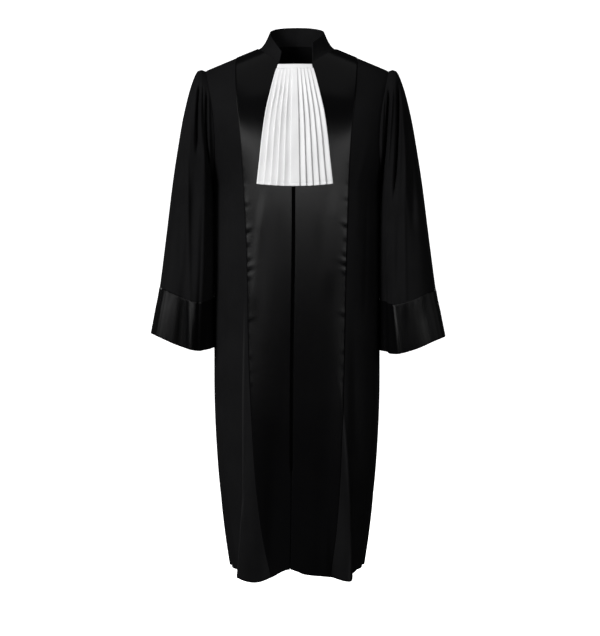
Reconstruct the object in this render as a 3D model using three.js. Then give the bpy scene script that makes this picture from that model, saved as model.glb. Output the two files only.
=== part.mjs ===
// A judge's robe, filled out as if worn but with nobody in it. Millimetres, +Z up.
// The wearer faces -Y, +X is the wearer's left, and the origin lies midway between the two points
// where the shoulder seams meet the collar, which is where the wearer's shoulders carry the robe.
// Every piece of cloth is a wall of even thickness, built on a grid of points in rows and columns.
import * as THREE from "three";

// Cloth
const CLOTH = 1.5; // wall of the matt robe cloth
const SATIN = 1.2; // wall of the satin bands and cuffs
const STAND = 2.2; // wall of the stiffened collar
const LINEN = 1.0; // wall of the white bib
const GAP = 0.3; // between pieces that are sewn together or lie on each other

// Shoulders, neck and armholes
const NECK_X = 98; // where the shoulder seam meets the collar
const NECK_RISE = 34; // how far the shoulder line would climb from there to the middle
const SHOULDER_X = 229; // outer end of the shoulder seam
const SHOULDER_Z = -54;
const UNDERARM_X = 207; // top of the side seam
const UNDERARM_Z = -345;
const ARMHOLE_Z = (SHOULDER_Z + UNDERARM_Z) / 2;
const ARMHOLE_HALF = (SHOULDER_Z - UNDERARM_Z) / 2;
const ARMHOLE_INSET = 7; // how far the armhole curves in towards the chest
const ARMHOLE_DEPTH = { front: 82, back: 86 };
const NECK_END = { right: 45, left: 38 }; // x of the collar's two front ends
const NECK_END_Z = -44;
const NECK_BACK_Z = 14;
const NECK_VEE = 85; // the fronts part over this height above their closed edge

// Closing
const SLIT = 4.6; // half the dark slit between the two satin edges
const CLOSED = 0.4; // half the gap below the slit, where the edges meet
const SLIT_END_Z = -1040;
const UNDERLAP = 24; // half the width of the strip behind the closing

const TURN_LIMIT = 1.1; // in radians, the sharpest turn of the cloth at a seam that is mitred
const SECTION_POWER = 2.4; // 2 is an ellipse, more is squarer

// Horizontal sections of the body: half width at the side seam, and depth before and behind it.
const BODY = [
  { z: -1310, side: 158, front: 126, back: 136 },
  { z: -1225, side: 173, front: 126, back: 134 },
  { z: -1125, side: 188, front: 126, back: 130 },
  { z: -1020, side: 198, front: 127, back: 126 },
  { z: -880, side: 205, front: 128, back: 121 },
  { z: -740, side: 206, front: 128, back: 116 },
  { z: -500, side: 206, front: 129, back: 109 },
  { z: -345, side: 207, front: 130, back: 110 },
  { z: -200, side: 207, front: 128, back: 112 },
  { z: -60, side: 207, front: 122, back: 108 },
  { z: 40, side: 207, front: 120, back: 106 },
];

// Hem height round the body. Angles are 0 at the middle of the front and 180 behind, and minus on the
// wearer's right. The hem is highest at the closing and lowest under the two front folds.
const HEM = [
  { angle: -180, z: -1300 },
  { angle: -130, z: -1298 },
  { angle: -70, z: -1290 },
  { angle: -52, z: -1298 },
  { angle: -35, z: -1312 },
  { angle: -18, z: -1298 },
  { angle: -4, z: -1279 },
  { angle: 4, z: -1291 },
  { angle: 28, z: -1300 },
  { angle: 41, z: -1309 },
  { angle: 54, z: -1297 },
  { angle: 70, z: -1290 },
  { angle: 130, z: -1298 },
  { angle: 180, z: -1300 },
];

// Tubular folds that hang down the body. Minus angles are on the wearer's right. Inner and outer are
// the angles from the crest to the foot, and the fold grows from start down to the hem.
const BODY_FOLDS = [
  { angle: -42, inner: 24, outer: 15, height: 30, start: -420 },
  { angle: -66, inner: 9, outer: 12, height: -9, start: -700 },
  { angle: 40, inner: 15, outer: 14, height: 27, start: -560 },
  { angle: 66, inner: 11, outer: 12, height: -8, start: -760 },
  { angle: -114, inner: 16, outer: 16, height: 22, start: -700 },
  { angle: -147, inner: 17, outer: 16, height: 32, start: -430 },
  { angle: 180, inner: 16, outer: 16, height: 26, start: -560 },
  { angle: 149, inner: 15, outer: 16, height: 33, start: -480 },
  { angle: 117, inner: 16, outer: 16, height: 24, start: -660 },
];

// Middle line of the closing, and the outer edge of each satin band, down the front.
const FRONT_LINES = [
  { z: -1310, closing: -17, rightBand: 61, leftBand: 81 },
  { z: -1225, closing: -15.5, rightBand: 78, leftBand: 90 },
  { z: -1125, closing: -14, rightBand: 90, leftBand: 97 },
  { z: -1000, closing: -13.5, rightBand: 100, leftBand: 104 },
  { z: -750, closing: -12, rightBand: 115, leftBand: 115 },
  { z: -500, closing: -8.5, rightBand: 123, leftBand: 122 },
  { z: -225, closing: -8, rightBand: 138, leftBand: 132 },
  { z: -125, closing: -7, rightBand: 147, leftBand: 141 },
  { z: -20, closing: -6, rightBand: 152, leftBand: 150 },
];

// Top edge of the stand collar from the middle of the back (0) to its front end (1).
const COLLAR_TOP = [
  { share: 0, x: 0, y: 41, rightZ: 62, leftZ: 62 },
  { share: 0.2, x: 31, y: 36, rightZ: 60, leftZ: 60 },
  { share: 0.4, x: 57, y: 18, rightZ: 53, leftZ: 53 },
  { share: 0.56, x: 67, y: -8, rightZ: 41, leftZ: 43 },
  { share: 0.78, x: 59, y: -48, rightZ: 17, leftZ: 26 },
  { share: 1, x: 38, y: -80, rightZ: -17, leftZ: 5 },
];
const COLLAR_HOLLOW = 0.55; // below 1 the collar flares out at its foot

// Rings of the sleeve from the armhole to the hem: the outer and the inner point of each ring, its
// half depth, the height of the gathers there and how far the ring's front and back drop.
const SLEEVE = [
  { outerX: 229, outerZ: -54, innerX: 207, innerZ: -345, depth: 84, gather: 0, drop: 0 },
  { outerX: 238, outerZ: -51, innerX: 210.5, innerZ: -347, depth: 86, gather: 2.5, drop: 0 },
  { outerX: 249, outerZ: -56, innerX: 209, innerZ: -353, depth: 88, gather: 4.5, drop: 0 },
  { outerX: 260, outerZ: -80, innerX: 207, innerZ: -364, depth: 90, gather: 5.5, drop: 1 },
  { outerX: 271, outerZ: -116, innerX: 205, innerZ: -381, depth: 91, gather: 6, drop: 2 },
  { outerX: 284, outerZ: -172, innerX: 204, innerZ: -408, depth: 92, gather: 5.5, drop: 3 },
  { outerX: 296, outerZ: -242, innerX: 203, innerZ: -446, depth: 93, gather: 4.5, drop: 5 },
  { outerX: 310, outerZ: -336, innerX: 202, innerZ: -497, depth: 94, gather: 2.5, drop: 8 },
  { outerX: 325, outerZ: -460, innerX: 201, innerZ: -556, depth: 95, gather: 1, drop: 12 },
  { outerX: 342, outerZ: -594, innerX: 202, innerZ: -617, depth: 96, gather: 0, drop: 17 },
];
const SLEEVE_END = { outerX: 363, outerZ: -707, innerX: 201, innerZ: -737, depth: 97, gather: 0, drop: 17 };
// The wearer's left sleeve hangs a little wider and lower at its end.
const SLEEVE_EXTRA = { right: { wider: 0, lower: 0 }, left: { wider: 7, lower: 9 } };
const CUFF_RINGS = 2; // steps from the cuff's top edge to the hem
const SIDE_CLEAR = 4.4; // between the middles of the sleeve wall and the body wall beside it

// Long folds of the sleeves. Angles run round the sleeve: 0 outside, 90 front, 180 inside, 270 back.
const SLEEVE_FOLDS = {
  right: [
    { angle: 58, width: 22, height: 6 },
    { angle: 88, width: 13, height: -7 },
    { angle: 106, width: 11, height: 8 },
    { angle: 132, width: 16, height: -8 },
    { angle: 228, width: 18, height: -8 },
    { angle: 258, width: 15, height: 8 },
    { angle: 290, width: 16, height: -7 },
  ],
  left: [
    { angle: 50, width: 20, height: 5 },
    { angle: 84, width: 14, height: -6 },
    { angle: 102, width: 10, height: 6 },
    { angle: 120, width: 11, height: 8 },
    { angle: 143, width: 13, height: -8 },
    { angle: 225, width: 16, height: -7 },
    { angle: 252, width: 15, height: 8 },
    { angle: 284, width: 17, height: -7 },
  ],
};

// White bib: half width down its length, from the neck band to the hem.
const BIB_WIDTH = [
  { down: 0, half: 42 },
  { down: 30, half: 50.5 },
  { down: 70, half: 60 },
  { down: 120, half: 71 },
  { down: 180, half: 79.5 },
  { down: 240, half: 85.5 },
  { down: 290, half: 91 },
];
const BIB = { middle: -5, top: -62, length: 283, sag: 6, pleats: 5, flat: 0.13, rise: 4, rows: 9 };
const NECK_BAND = { half: 43, height: 10, wall: 1.6 };

// Rows and columns of the grids
const ROWS_BELOW = 8; // from the hem to the underarm
const ARMHOLE_ANGLES = [180, 158, 136, 116, 96, 78, 62, 46, 30, 14, 0]; // 0 is the shoulder
const ROWS = ROWS_BELOW + ARMHOLE_ANGLES.length - 1;
const NECK_COLUMNS = 3; // of the band, up to the point where the collar meets the shoulder seam
const BAND_COLUMNS = 6;
const FRONT_COLUMNS = 15;
const BACK_NECK_COLUMNS = 5;
const BACK_COLUMNS = 14; // on each side of the middle
const GATHER_STEPS = 3;
const SLEEVE_STEPS = [1, 1, 2, 2, 3, 3, 3, 3, 3, 2]; // between armhole angles, from the underarm up

const SIDES = { right: -1, left: 1 };
const mix = (a, b, t) => a + (b - a) * t;
const clamp = (t) => Math.min(1, Math.max(0, t));
const ease = (t) => clamp(t) ** 2 * (3 - 2 * clamp(t));
const radians = THREE.MathUtils.degToRad;
const degrees = THREE.MathUtils.radToDeg;

// One named column of a table, read at any place between its rows along a smooth curve.
function read(table, by, want, at) {
  const last = table.length - 1;
  if (at <= table[0][by]) return table[0][want];
  if (at >= table[last][by]) return table[last][want];
  const next = table.findIndex((row) => row[by] > at);
  const slope = (k) => {
    const low = table[Math.max(0, k - 1)];
    const high = table[Math.min(last, k + 1)];
    return (high[want] - low[want]) / (high[by] - low[by]);
  };
  const from = table[next - 1];
  const to = table[next];
  const step = to[by] - from[by];
  const t = (at - from[by]) / step;
  const start = (1 + 2 * t) * (1 - t) ** 2 * from[want] + t * (1 - t) ** 2 * step * slope(next - 1);
  const end = t * t * (3 - 2 * t) * to[want] - t * t * (1 - t) * step * slope(next);
  return start + end;
}

// The body's surface

// Height of the shoulder line at x. Outside the neck it is straight, so both seam edges match.
function ridge(x) {
  const reach = Math.abs(x);
  if (reach < NECK_X) return NECK_RISE * (1 - (reach / NECK_X) ** 1.3);
  return (SHOULDER_Z * (reach - NECK_X)) / (SHOULDER_X - NECK_X);
}

// Share of the full depth that is left where the cloth rounds over the shoulder.
function overShoulder(x, z) {
  const t = (z - ARMHOLE_Z) / (ridge(x) - ARMHOLE_Z);
  return t <= 0 ? 1 : Math.sqrt(Math.max(0, 1 - t * t));
}

const section = (r) => (1 - Math.min(1, Math.abs(r)) ** SECTION_POWER) ** (1 / SECTION_POWER);

// Outer edge of the body panels: the side seam, then the armhole.
function panelEdge(z) {
  if (z <= UNDERARM_Z) return read(BODY, "z", "side", z);
  const share = clamp((z - UNDERARM_Z) / (SHOULDER_Z - UNDERARM_Z));
  return mix(UNDERARM_X, SHOULDER_X, share) - ARMHOLE_INSET * Math.sin(Math.PI * share);
}

function armholeDepth(part, z) {
  const t = (z - ARMHOLE_Z) / ARMHOLE_HALF;
  return ARMHOLE_DEPTH[part] * Math.sqrt(Math.max(0, 1 - t * t));
}

// Half width of the whole section curve, of which a panel ends at the armhole.
function spread(part, z) {
  if (z <= UNDERARM_Z) return panelEdge(z);
  const level = Math.min(z, SHOULDER_Z - 0.5);
  const edge = panelEdge(level);
  const full = read(BODY, "z", part, level) * overShoulder(edge, level);
  const ratio = Math.min(0.98, armholeDepth(part, level) / full);
  return edge / section(ratio);
}

// Angle round the body of a point at x, 0 at the middle of the front and 180 behind.
function ringAngle(part, x, z) {
  const r = Math.min(1, Math.abs(x) / spread(part, z));
  const angle = degrees(Math.asin(r ** (SECTION_POWER / 2)));
  return Math.sign(x || 1) * (part === "front" ? angle : 180 - angle);
}

function foldHeight(angle, z) {
  let height = 0;
  for (const fold of BODY_FOLDS) {
    let off = angle - fold.angle;
    off -= 360 * Math.round(off / 360);
    const outward = off * fold.angle > 0;
    const share = Math.abs(off) / (outward ? fold.outer : fold.inner);
    if (share >= 1) continue;
    const grown = ease((fold.start - z) / (fold.start + 1300));
    height += fold.height * grown * Math.cos((share * Math.PI) / 2) ** 2;
  }
  return height;
}

// Middle of the body cloth, before or behind the side seams, at x and z.
function bodyPoint(part, x, z) {
  const facing = part === "front" ? -1 : 1;
  const depth = read(BODY, "z", part, z);
  const wide = spread(part, z);
  const angle = ringAngle(part, x, z);
  const across = Math.abs(x / wide) ** (SECTION_POWER - 1) / wide;
  const along = section(x / wide) ** (SECTION_POWER - 1) / depth;
  const outward = new THREE.Vector3(Math.sign(x) * across, facing * along, 0).normalize();
  const y = facing * depth * section(x / wide) * overShoulder(x, z);
  return new THREE.Vector3(x, y, z).addScaledVector(outward, foldHeight(angle, z));
}

// Walls of cloth

// Outward unit normals of a grid of points. A closed grid joins its last column to its first.
function gridNormals(points, closed, flip) {
  return points.map((row, i) =>
    row.map((_, j) => {
      const up = points[Math.min(points.length - 1, i + 1)][j].clone();
      up.sub(points[Math.max(0, i - 1)][j]);
      const count = row.length;
      const next = closed ? (j + 1) % count : Math.min(count - 1, j + 1);
      const before = closed ? (j + count - 1) % count : Math.max(0, j - 1);
      const along = row[next].clone().sub(row[before]);
      return along.cross(up).normalize().multiplyScalar(flip ? -1 : 1);
    }),
  );
}

// The grid's points moved along its normals.
const moved = (cloth, by) =>
  cloth.points.map((row, i) => row.map((p, j) => p.clone().addScaledVector(cloth.normals[i][j], by)));

// A closed wall of the given thickness about a grid. shift moves it off the grid, outwards.
function wall(cloth, thickness, shift = 0) {
  const outer = moved(cloth, shift + thickness / 2);
  const inner = moved(cloth, shift - thickness / 2);
  const rows = outer.length;
  const columns = outer[0].length;
  const index = [];
  const at = (layer, i, j) => layer * rows * columns + i * columns + (j % columns);
  const quad = (a, b, c, d) => index.push(a, b, c, a, c, d);
  const steps = cloth.closed ? columns : columns - 1;
  for (let i = 0; i < rows - 1; i++)
    for (let j = 0; j < steps; j++) {
      quad(at(0, i, j), at(0, i, j + 1), at(0, i + 1, j + 1), at(0, i + 1, j));
      quad(at(1, i, j), at(1, i + 1, j), at(1, i + 1, j + 1), at(1, i, j + 1));
    }
  for (let j = 0; j < steps; j++) {
    quad(at(0, 0, j), at(1, 0, j), at(1, 0, j + 1), at(0, 0, j + 1));
    quad(at(0, rows - 1, j), at(0, rows - 1, j + 1), at(1, rows - 1, j + 1), at(1, rows - 1, j));
  }
  if (!cloth.closed)
    for (let i = 0; i < rows - 1; i++) {
      const end = columns - 1;
      quad(at(0, i, 0), at(0, i + 1, 0), at(1, i + 1, 0), at(1, i, 0));
      quad(at(0, i, end), at(1, i, end), at(1, i + 1, end), at(0, i + 1, end));
    }
  if (cloth.flip) for (let k = 0; k < index.length; k += 3) index.splice(k, 2, index[k + 1], index[k]);
  const geometry = new THREE.BufferGeometry().setFromPoints([...outer.flat(), ...inner.flat()]);
  geometry.setIndex(index);
  geometry.computeVertexNormals();
  return geometry;
}

const columnsOf = (cloth, from, to) => ({
  ...cloth,
  points: cloth.points.map((row) => row.slice(from, to + 1)),
  normals: cloth.normals.map((row) => row.slice(from, to + 1)),
});

const rowsOf = (cloth, from, to) => ({
  ...cloth,
  points: cloth.points.slice(from, to + 1),
  normals: cloth.normals.slice(from, to + 1),
});

// Gives the pieces that meet at a point one normal, so that their sewn edges are parallel.
function share(...normals) {
  const sum = normals.reduce((total, normal) => total.add(normal), new THREE.Vector3()).normalize();
  for (const normal of normals) normal.copy(sum);
}

// Starts a piece at the edge of a panel. seam holds the panel's edge point, its normals there, the
// way along the edge and a point further in. onward is where the started piece goes next.
function joinTo(seam, start, startNormal, onward, gap = GAP) {
  const face = seam.normals.reduce((total, normal) => total.add(normal), new THREE.Vector3()).normalize();
  const out = seam.along.clone().cross(face).normalize();
  if (out.dot(seam.point.clone().sub(seam.inner)) < 0) out.negate();
  const way = onward.clone().sub(start).normalize();
  const turned = Math.atan2(way.dot(face), way.dot(out));
  if (turned > TURN_LIMIT) {
    // The piece stands on the panel's face rather than going on from its edge.
    start.addScaledVector(face, CLOTH / 2 + 2.6 * gap);
    startNormal.copy(out).negate();
    return;
  }
  share(startNormal, ...seam.normals);
  const away = seam.along.clone().cross(startNormal).normalize();
  if (away.dot(out) < 0) away.negate();
  start.addScaledVector(away, gap);
}

// Fronts, back and what lies on them

const armholeZ = (step) => ARMHOLE_Z + ARMHOLE_HALF * Math.cos(radians(ARMHOLE_ANGLES[step]));

// Share of the way from the underarm to the top edge, for a row.
const climb = (row) => (armholeZ(Math.max(0, row - ROWS_BELOW)) - UNDERARM_Z) / (SHOULDER_Z - UNDERARM_Z);

// Front edge of a front panel. It parts from the other front near the neck.
function frontEdge(side, z) {
  const half = mix(SLIT, CLOSED, ease((SLIT_END_Z + 20 - z) / 40));
  const closed = half + SIDES[side] * read(FRONT_LINES, "z", "closing", z);
  const open = clamp((z - NECK_END_Z + NECK_VEE) / NECK_VEE);
  return mix(closed, NECK_END[side], open ** 1.15);
}

// Top edge of a front at x: the neckline, then the shoulder seam.
function frontTop(side, x) {
  if (x >= NECK_X) return ridge(x);
  const t = (NECK_X - x) / (NECK_X - NECK_END[side]);
  return NECK_END_Z * t ** 0.9;
}

// Top edge of the back at x.
const backTop = (x) => (x >= NECK_X ? ridge(x) : NECK_BACK_Z * (1 - (x / NECK_X) ** 2.2));

// x of a front column at height z. Column BAND_COLUMNS runs along the edge of the satin band.
function frontColumnX(side, column, z, rise) {
  const band = read(FRONT_LINES, "z", `${side}Band`, z);
  if (column <= BAND_COLUMNS) {
    const topShare = (column - NECK_COLUMNS) / (BAND_COLUMNS - NECK_COLUMNS);
    const topX =
      column < NECK_COLUMNS
        ? mix(NECK_END[side], NECK_X, column / NECK_COLUMNS)
        : mix(NECK_X, band, topShare);
    const low = mix(frontEdge(side, z), band, column / BAND_COLUMNS);
    return mix(low, topX, rise ** 3);
  }
  const edge = panelEdge(z);
  const share = (column - BAND_COLUMNS) / (FRONT_COLUMNS - BAND_COLUMNS);
  if (column === FRONT_COLUMNS) return edge;
  const wide = spread("front", z);
  const from = Math.asin((band / wide) ** (SECTION_POWER / 2));
  const to = Math.asin(Math.min(1, edge / wide) ** (SECTION_POWER / 2));
  const round = wide * Math.sin(mix(from, to, share)) ** (2 / SECTION_POWER);
  return mix(round, mix(band, edge, share), rise ** 3);
}

function frontTopX(side, column) {
  const band = read(FRONT_LINES, "z", `${side}Band`, SHOULDER_Z / 2);
  if (column <= NECK_COLUMNS) return mix(NECK_END[side], NECK_X, column / NECK_COLUMNS);
  if (column <= BAND_COLUMNS)
    return mix(NECK_X, band, (column - NECK_COLUMNS) / (BAND_COLUMNS - NECK_COLUMNS));
  return mix(band, SHOULDER_X, (column - BAND_COLUMNS) / (FRONT_COLUMNS - BAND_COLUMNS));
}

function hemZ(part, x) {
  return read(HEM, "angle", "z", ringAngle(part, x, -1290));
}

// Height of a row on a column that starts at hemHeight and ends at topHeight.
const rowZ = (row, hemHeight, topHeight) =>
  row <= ROWS_BELOW
    ? mix(hemHeight, UNDERARM_Z, row / ROWS_BELOW)
    : mix(UNDERARM_Z, topHeight, climb(row));

function frontCloth(side) {
  const sign = SIDES[side];
  const points = [];
  for (let row = 0; row <= ROWS; row++) {
    points.push([]);
    for (let column = 0; column <= FRONT_COLUMNS; column++) {
      const hem = hemZ("front", sign * frontColumnX(side, column, -1290, 0));
      const topX = frontTopX(side, column);
      const z = rowZ(row, hem, frontTop(side, topX));
      const x = row === ROWS ? topX : frontColumnX(side, column, z, row < ROWS_BELOW ? 0 : climb(row));
      const point = bodyPoint("front", sign * x, z);
      const onSideSeam = column === FRONT_COLUMNS && row <= ROWS_BELOW;
      const onShoulderSeam = row === ROWS && column >= NECK_COLUMNS;
      if (onSideSeam || onShoulderSeam) point.y -= GAP / 2;
      points[row].push(point);
    }
  }
  const flip = sign < 0;
  return { points, normals: gridNormals(points, false, flip), closed: false, flip };
}

function backColumnX(column, z, rise) {
  const edge = panelEdge(z);
  if (column === BACK_COLUMNS) return edge;
  const wide = spread("back", z);
  const to = Math.asin(Math.min(1, edge / wide) ** (SECTION_POWER / 2));
  const round = wide * Math.sin((to * column) / BACK_COLUMNS) ** (2 / SECTION_POWER);
  return mix(round, backTopX(column), rise ** 3);
}

function backTopX(column) {
  if (column <= BACK_NECK_COLUMNS) return (NECK_X * column) / BACK_NECK_COLUMNS;
  return mix(NECK_X, SHOULDER_X, (column - BACK_NECK_COLUMNS) / (BACK_COLUMNS - BACK_NECK_COLUMNS));
}

// The back runs from the wearer's left to the right, so that its normals point backwards.
function backCloth() {
  const points = [];
  for (let row = 0; row <= ROWS; row++) {
    points.push([]);
    for (let step = -BACK_COLUMNS; step <= BACK_COLUMNS; step++) {
      const column = Math.abs(step);
      const sign = step < 0 ? 1 : -1;
      const hem = hemZ("back", sign * backColumnX(column, -1290, 0));
      const topX = backTopX(column);
      const z = rowZ(row, hem, backTop(topX));
      const x = row === ROWS ? topX : backColumnX(column, z, row < ROWS_BELOW ? 0 : climb(row));
      const point = bodyPoint("back", sign * x, z);
      const onSideSeam = column === BACK_COLUMNS && row <= ROWS_BELOW;
      const onShoulderSeam = row === ROWS && column >= BACK_NECK_COLUMNS;
      if (onSideSeam || onShoulderSeam) point.y += GAP / 2;
      points[row].push(point);
    }
  }
  return { points, normals: gridNormals(points, false, false), closed: false, flip: false };
}

// Makes the edges of the side and shoulder seams parallel.
function sewBody(fronts, back) {
  for (const [side, sign] of Object.entries(SIDES)) {
    const front = fronts[side].normals;
    const backEdge = sign > 0 ? 0 : 2 * BACK_COLUMNS;
    for (let row = 0; row <= ROWS_BELOW; row++)
      share(front[row][FRONT_COLUMNS], back.normals[row][backEdge]);
    const overSeam = new THREE.Vector3(-sign * SHOULDER_Z, 0, SHOULDER_X - NECK_X).normalize();
    for (let column = NECK_COLUMNS; column <= FRONT_COLUMNS; column++)
      front[ROWS][column].copy(overSeam);
    for (let column = BACK_NECK_COLUMNS; column <= BACK_COLUMNS; column++)
      back.normals[ROWS][BACK_COLUMNS - sign * column].copy(overSeam);
  }
}

// The strip behind the closing, which joins the two front edges.
function underlapCloth() {
  const points = [];
  const low = -1270;
  const high = ARMHOLE_Z - 8;
  for (let row = 0; row <= ROWS_BELOW; row++) {
    const z = mix(low, high, row / ROWS_BELOW);
    const middle = read(FRONT_LINES, "z", "closing", z);
    points.push([-1, 0, 1].map((k) => bodyPoint("front", middle + k * UNDERLAP, z)));
  }
  return { points, normals: gridNormals(points, false, false), closed: false, flip: false };
}

// Sleeves and cuffs

// Points of the armhole from the shoulder down the front to the underarm and up the back.
function armholeLoop(side, front, back) {
  const backEdge = SIDES[side] > 0 ? 0 : 2 * BACK_COLUMNS;
  const loop = [];
  const take = (cloth, row, edge, inner, angle) => {
    const normals = [cloth.normals[row][edge]];
    if (row === ROWS_BELOW || row === ROWS) normals.push(back.normals[row][backEdge]);
    const within = row === ROWS_BELOW ? cloth.points[row - 1][edge] : cloth.points[row][inner];
    loop.push({ angle, row, point: cloth.points[row][edge], inner: within, normals });
  };
  for (let row = ROWS; row >= ROWS_BELOW; row--)
    take(front, row, FRONT_COLUMNS, FRONT_COLUMNS - 1, ARMHOLE_ANGLES[row - ROWS_BELOW]);
  for (let row = ROWS_BELOW + 1; row < ROWS; row++)
    take(back, row, backEdge, backEdge + SIDES[side], 360 - ARMHOLE_ANGLES[row - ROWS_BELOW]);
  return withAlong(loop, true);
}

// Adds the way along the edge to each point of a seam.
function withAlong(loop, closed) {
  const count = loop.length;
  return loop.map((spot, k) => {
    const next = loop[closed ? (k + 1) % count : Math.min(count - 1, k + 1)];
    const before = loop[closed ? (k + count - 1) % count : Math.max(0, k - 1)];
    return { ...spot, along: next.point.clone().sub(before.point).normalize() };
  });
}

// Where the side of the body lies beside a sleeve point, so that the sleeve stays clear of it.
function besideBody(y, z) {
  const depth = read(BODY, "z", y < 0 ? "front" : "back", z);
  return read(BODY, "z", "side", z) * section(y / depth) + SIDE_CLEAR;
}

function sleeveRings() {
  const cuffTop = SLEEVE[SLEEVE.length - 1];
  const cuff = [];
  for (let step = 1; step <= CUFF_RINGS; step++) {
    const ring = {};
    for (const key of Object.keys(cuffTop)) ring[key] = mix(cuffTop[key], SLEEVE_END[key], step / CUFF_RINGS);
    cuff.push(ring);
  }
  return [...SLEEVE, ...cuff];
}

// One point of a sleeve ring. wave is 0 in the valley of a gather and 1 on its crest.
function sleevePoint(side, ring, share, angle, wave) {
  const sign = SIDES[side];
  const turn = radians(angle);
  const round = mix(1, 0.88, share);
  const power = (v) => Math.sign(v) * Math.abs(v) ** round;
  const outward = power(Math.cos(turn));
  const forward = power(Math.sin(turn));
  const middleX = (ring.outerX + ring.innerX) / 2;
  const middleZ = (ring.outerZ + ring.innerZ) / 2;
  const reachX = (ring.outerX - ring.innerX) / 2;
  const reachZ = (ring.outerZ - ring.innerZ) / 2;
  let lift = ring.gather * wave;
  for (const fold of SLEEVE_FOLDS[side]) {
    const off = Math.abs(angle - fold.angle) / fold.width;
    if (off < 1) lift += fold.height * ease(share * 1.25 - 0.2) * Math.cos((off * Math.PI) / 2) ** 2;
  }
  const normal = new THREE.Vector3(Math.cos(turn), -Math.sin(turn), 0);
  const tilt = clamp(reachZ / Math.hypot(reachX, reachZ));
  normal.set(normal.x * (1 - tilt), normal.y, normal.x * tilt).normalize();
  const extra = SLEEVE_EXTRA[side];
  const drop = ring.drop * Math.sin(turn) ** 2 * (1 - Math.cos(turn)) + extra.lower * share ** 2;
  const point = new THREE.Vector3(
    middleX + reachX * outward + (extra.wider * (1 + outward) * share ** 2) / 2,
    -ring.depth * forward,
    middleZ + reachZ * outward - drop,
  ).addScaledVector(normal, lift);
  if (point.z < UNDERARM_Z) point.x = Math.max(point.x, besideBody(point.y, point.z));
  point.x *= sign;
  return point;
}

function sleeveCloth(side, front, back) {
  const loop = armholeLoop(side, front, back);
  const rings = sleeveRings();
  const spots = [];
  loop.forEach((from, k) => {
    const to = loop[(k + 1) % loop.length];
    const lower = Math.min(from.row, to.row) - ROWS_BELOW;
    const steps = SLEEVE_STEPS[lower];
    for (let step = 0; step < steps; step++) {
      const t = step / steps;
      const angle = mix(from.angle, to.angle || 360, t);
      const wave = steps === GATHER_STEPS ? Math.sin(Math.PI * t) ** 2 : 0;
      spots.push({ from, to, t, angle: from.angle === 0 && k > 0 ? 360 : angle, wave });
    }
  });
  const points = rings.map((ring, k) =>
    spots.map(({ from, to, t, angle, wave }) =>
      k === 0
        ? from.point.clone().lerp(to.point, t)
        : sleevePoint(side, ring, k / (rings.length - 1), angle, wave),
    ),
  );
  const flip = SIDES[side] < 0;
  const normals = gridNormals(points, true, flip);
  const starts = spots.map((spot, j) => (spot.t === 0 ? j : -1)).filter((j) => j >= 0);
  for (const j of starts) joinTo(spots[j].from, points[0][j], normals[0][j], points[1][j]);
  // Between the armhole's points the sleeve's edge is straight, as the panels' edges are.
  spots.forEach(({ t }, j) => {
    if (t === 0) return;
    const from = Math.max(...starts.filter((k) => k < j));
    const to = starts[(starts.indexOf(from) + 1) % starts.length];
    points[0][j].lerpVectors(points[0][from], points[0][to], t);
    normals[0][j].lerpVectors(normals[0][from], normals[0][to], t);
  });
  return { points, normals, closed: true, flip };
}

// Collar

// The panels' top edge round the neck, from the wearer's right front end to the left one.
function neckline(fronts, back) {
  const edge = (cloth, column, ...others) => ({
    point: cloth.points[ROWS][column],
    inner: cloth.points[ROWS - 1][column],
    normals: [cloth.normals[ROWS][column], ...others],
  });
  const list = [];
  for (let column = 0; column < NECK_COLUMNS; column++) list.push(edge(fronts.right, column));
  for (let step = BACK_NECK_COLUMNS; step >= -BACK_NECK_COLUMNS; step--) {
    const atSeam = Math.abs(step) === BACK_NECK_COLUMNS;
    const front = step > 0 ? fronts.right : fronts.left;
    list.push(edge(back, BACK_COLUMNS + step, ...(atSeam ? [front.normals[ROWS][NECK_COLUMNS]] : [])));
  }
  for (let column = NECK_COLUMNS - 1; column >= 0; column--) list.push(edge(fronts.left, column));
  return withAlong(list, false);
}

function collarCloth(fronts, back) {
  const edge = neckline(fronts, back);
  const middle = (edge.length - 1) / 2;
  const lengths = [0];
  for (let k = 1; k < edge.length; k++)
    lengths.push(lengths[k - 1] + edge[k].point.distanceTo(edge[k - 1].point));
  const total = lengths[edge.length - 1];
  const centre = lengths[middle];
  const levels = [0, 0.12, 0.4, 0.7, 1];
  const points = levels.map((level) =>
    edge.map(({ point }, k) => {
      const side = k < middle ? "right" : "left";
      const along = side === "right" ? (centre - lengths[k]) / centre : (lengths[k] - centre) / (total - centre);
      const top = new THREE.Vector3(
        SIDES[side] * read(COLLAR_TOP, "share", "x", along),
        read(COLLAR_TOP, "share", "y", along),
        read(COLLAR_TOP, "share", `${side}Z`, along),
      );
      const inward = level ** COLLAR_HOLLOW;
      return new THREE.Vector3(
        mix(point.x, top.x, inward),
        mix(point.y, top.y, inward),
        mix(point.z, top.z, level),
      );
    }),
  );
  const normals = gridNormals(points, false, true);
  edge.forEach((seam, k) => joinTo(seam, points[0][k], normals[0][k], points[2][k], 2.6 * GAP));
  return { points, normals, closed: false, flip: true };
}

// White bib

// How far the bib's middle surface lies out from the middle of the front cloth behind it.
const BIB_BASE = CLOTH / 2 + GAP + SATIN + GAP + LINEN / 2;

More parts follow.
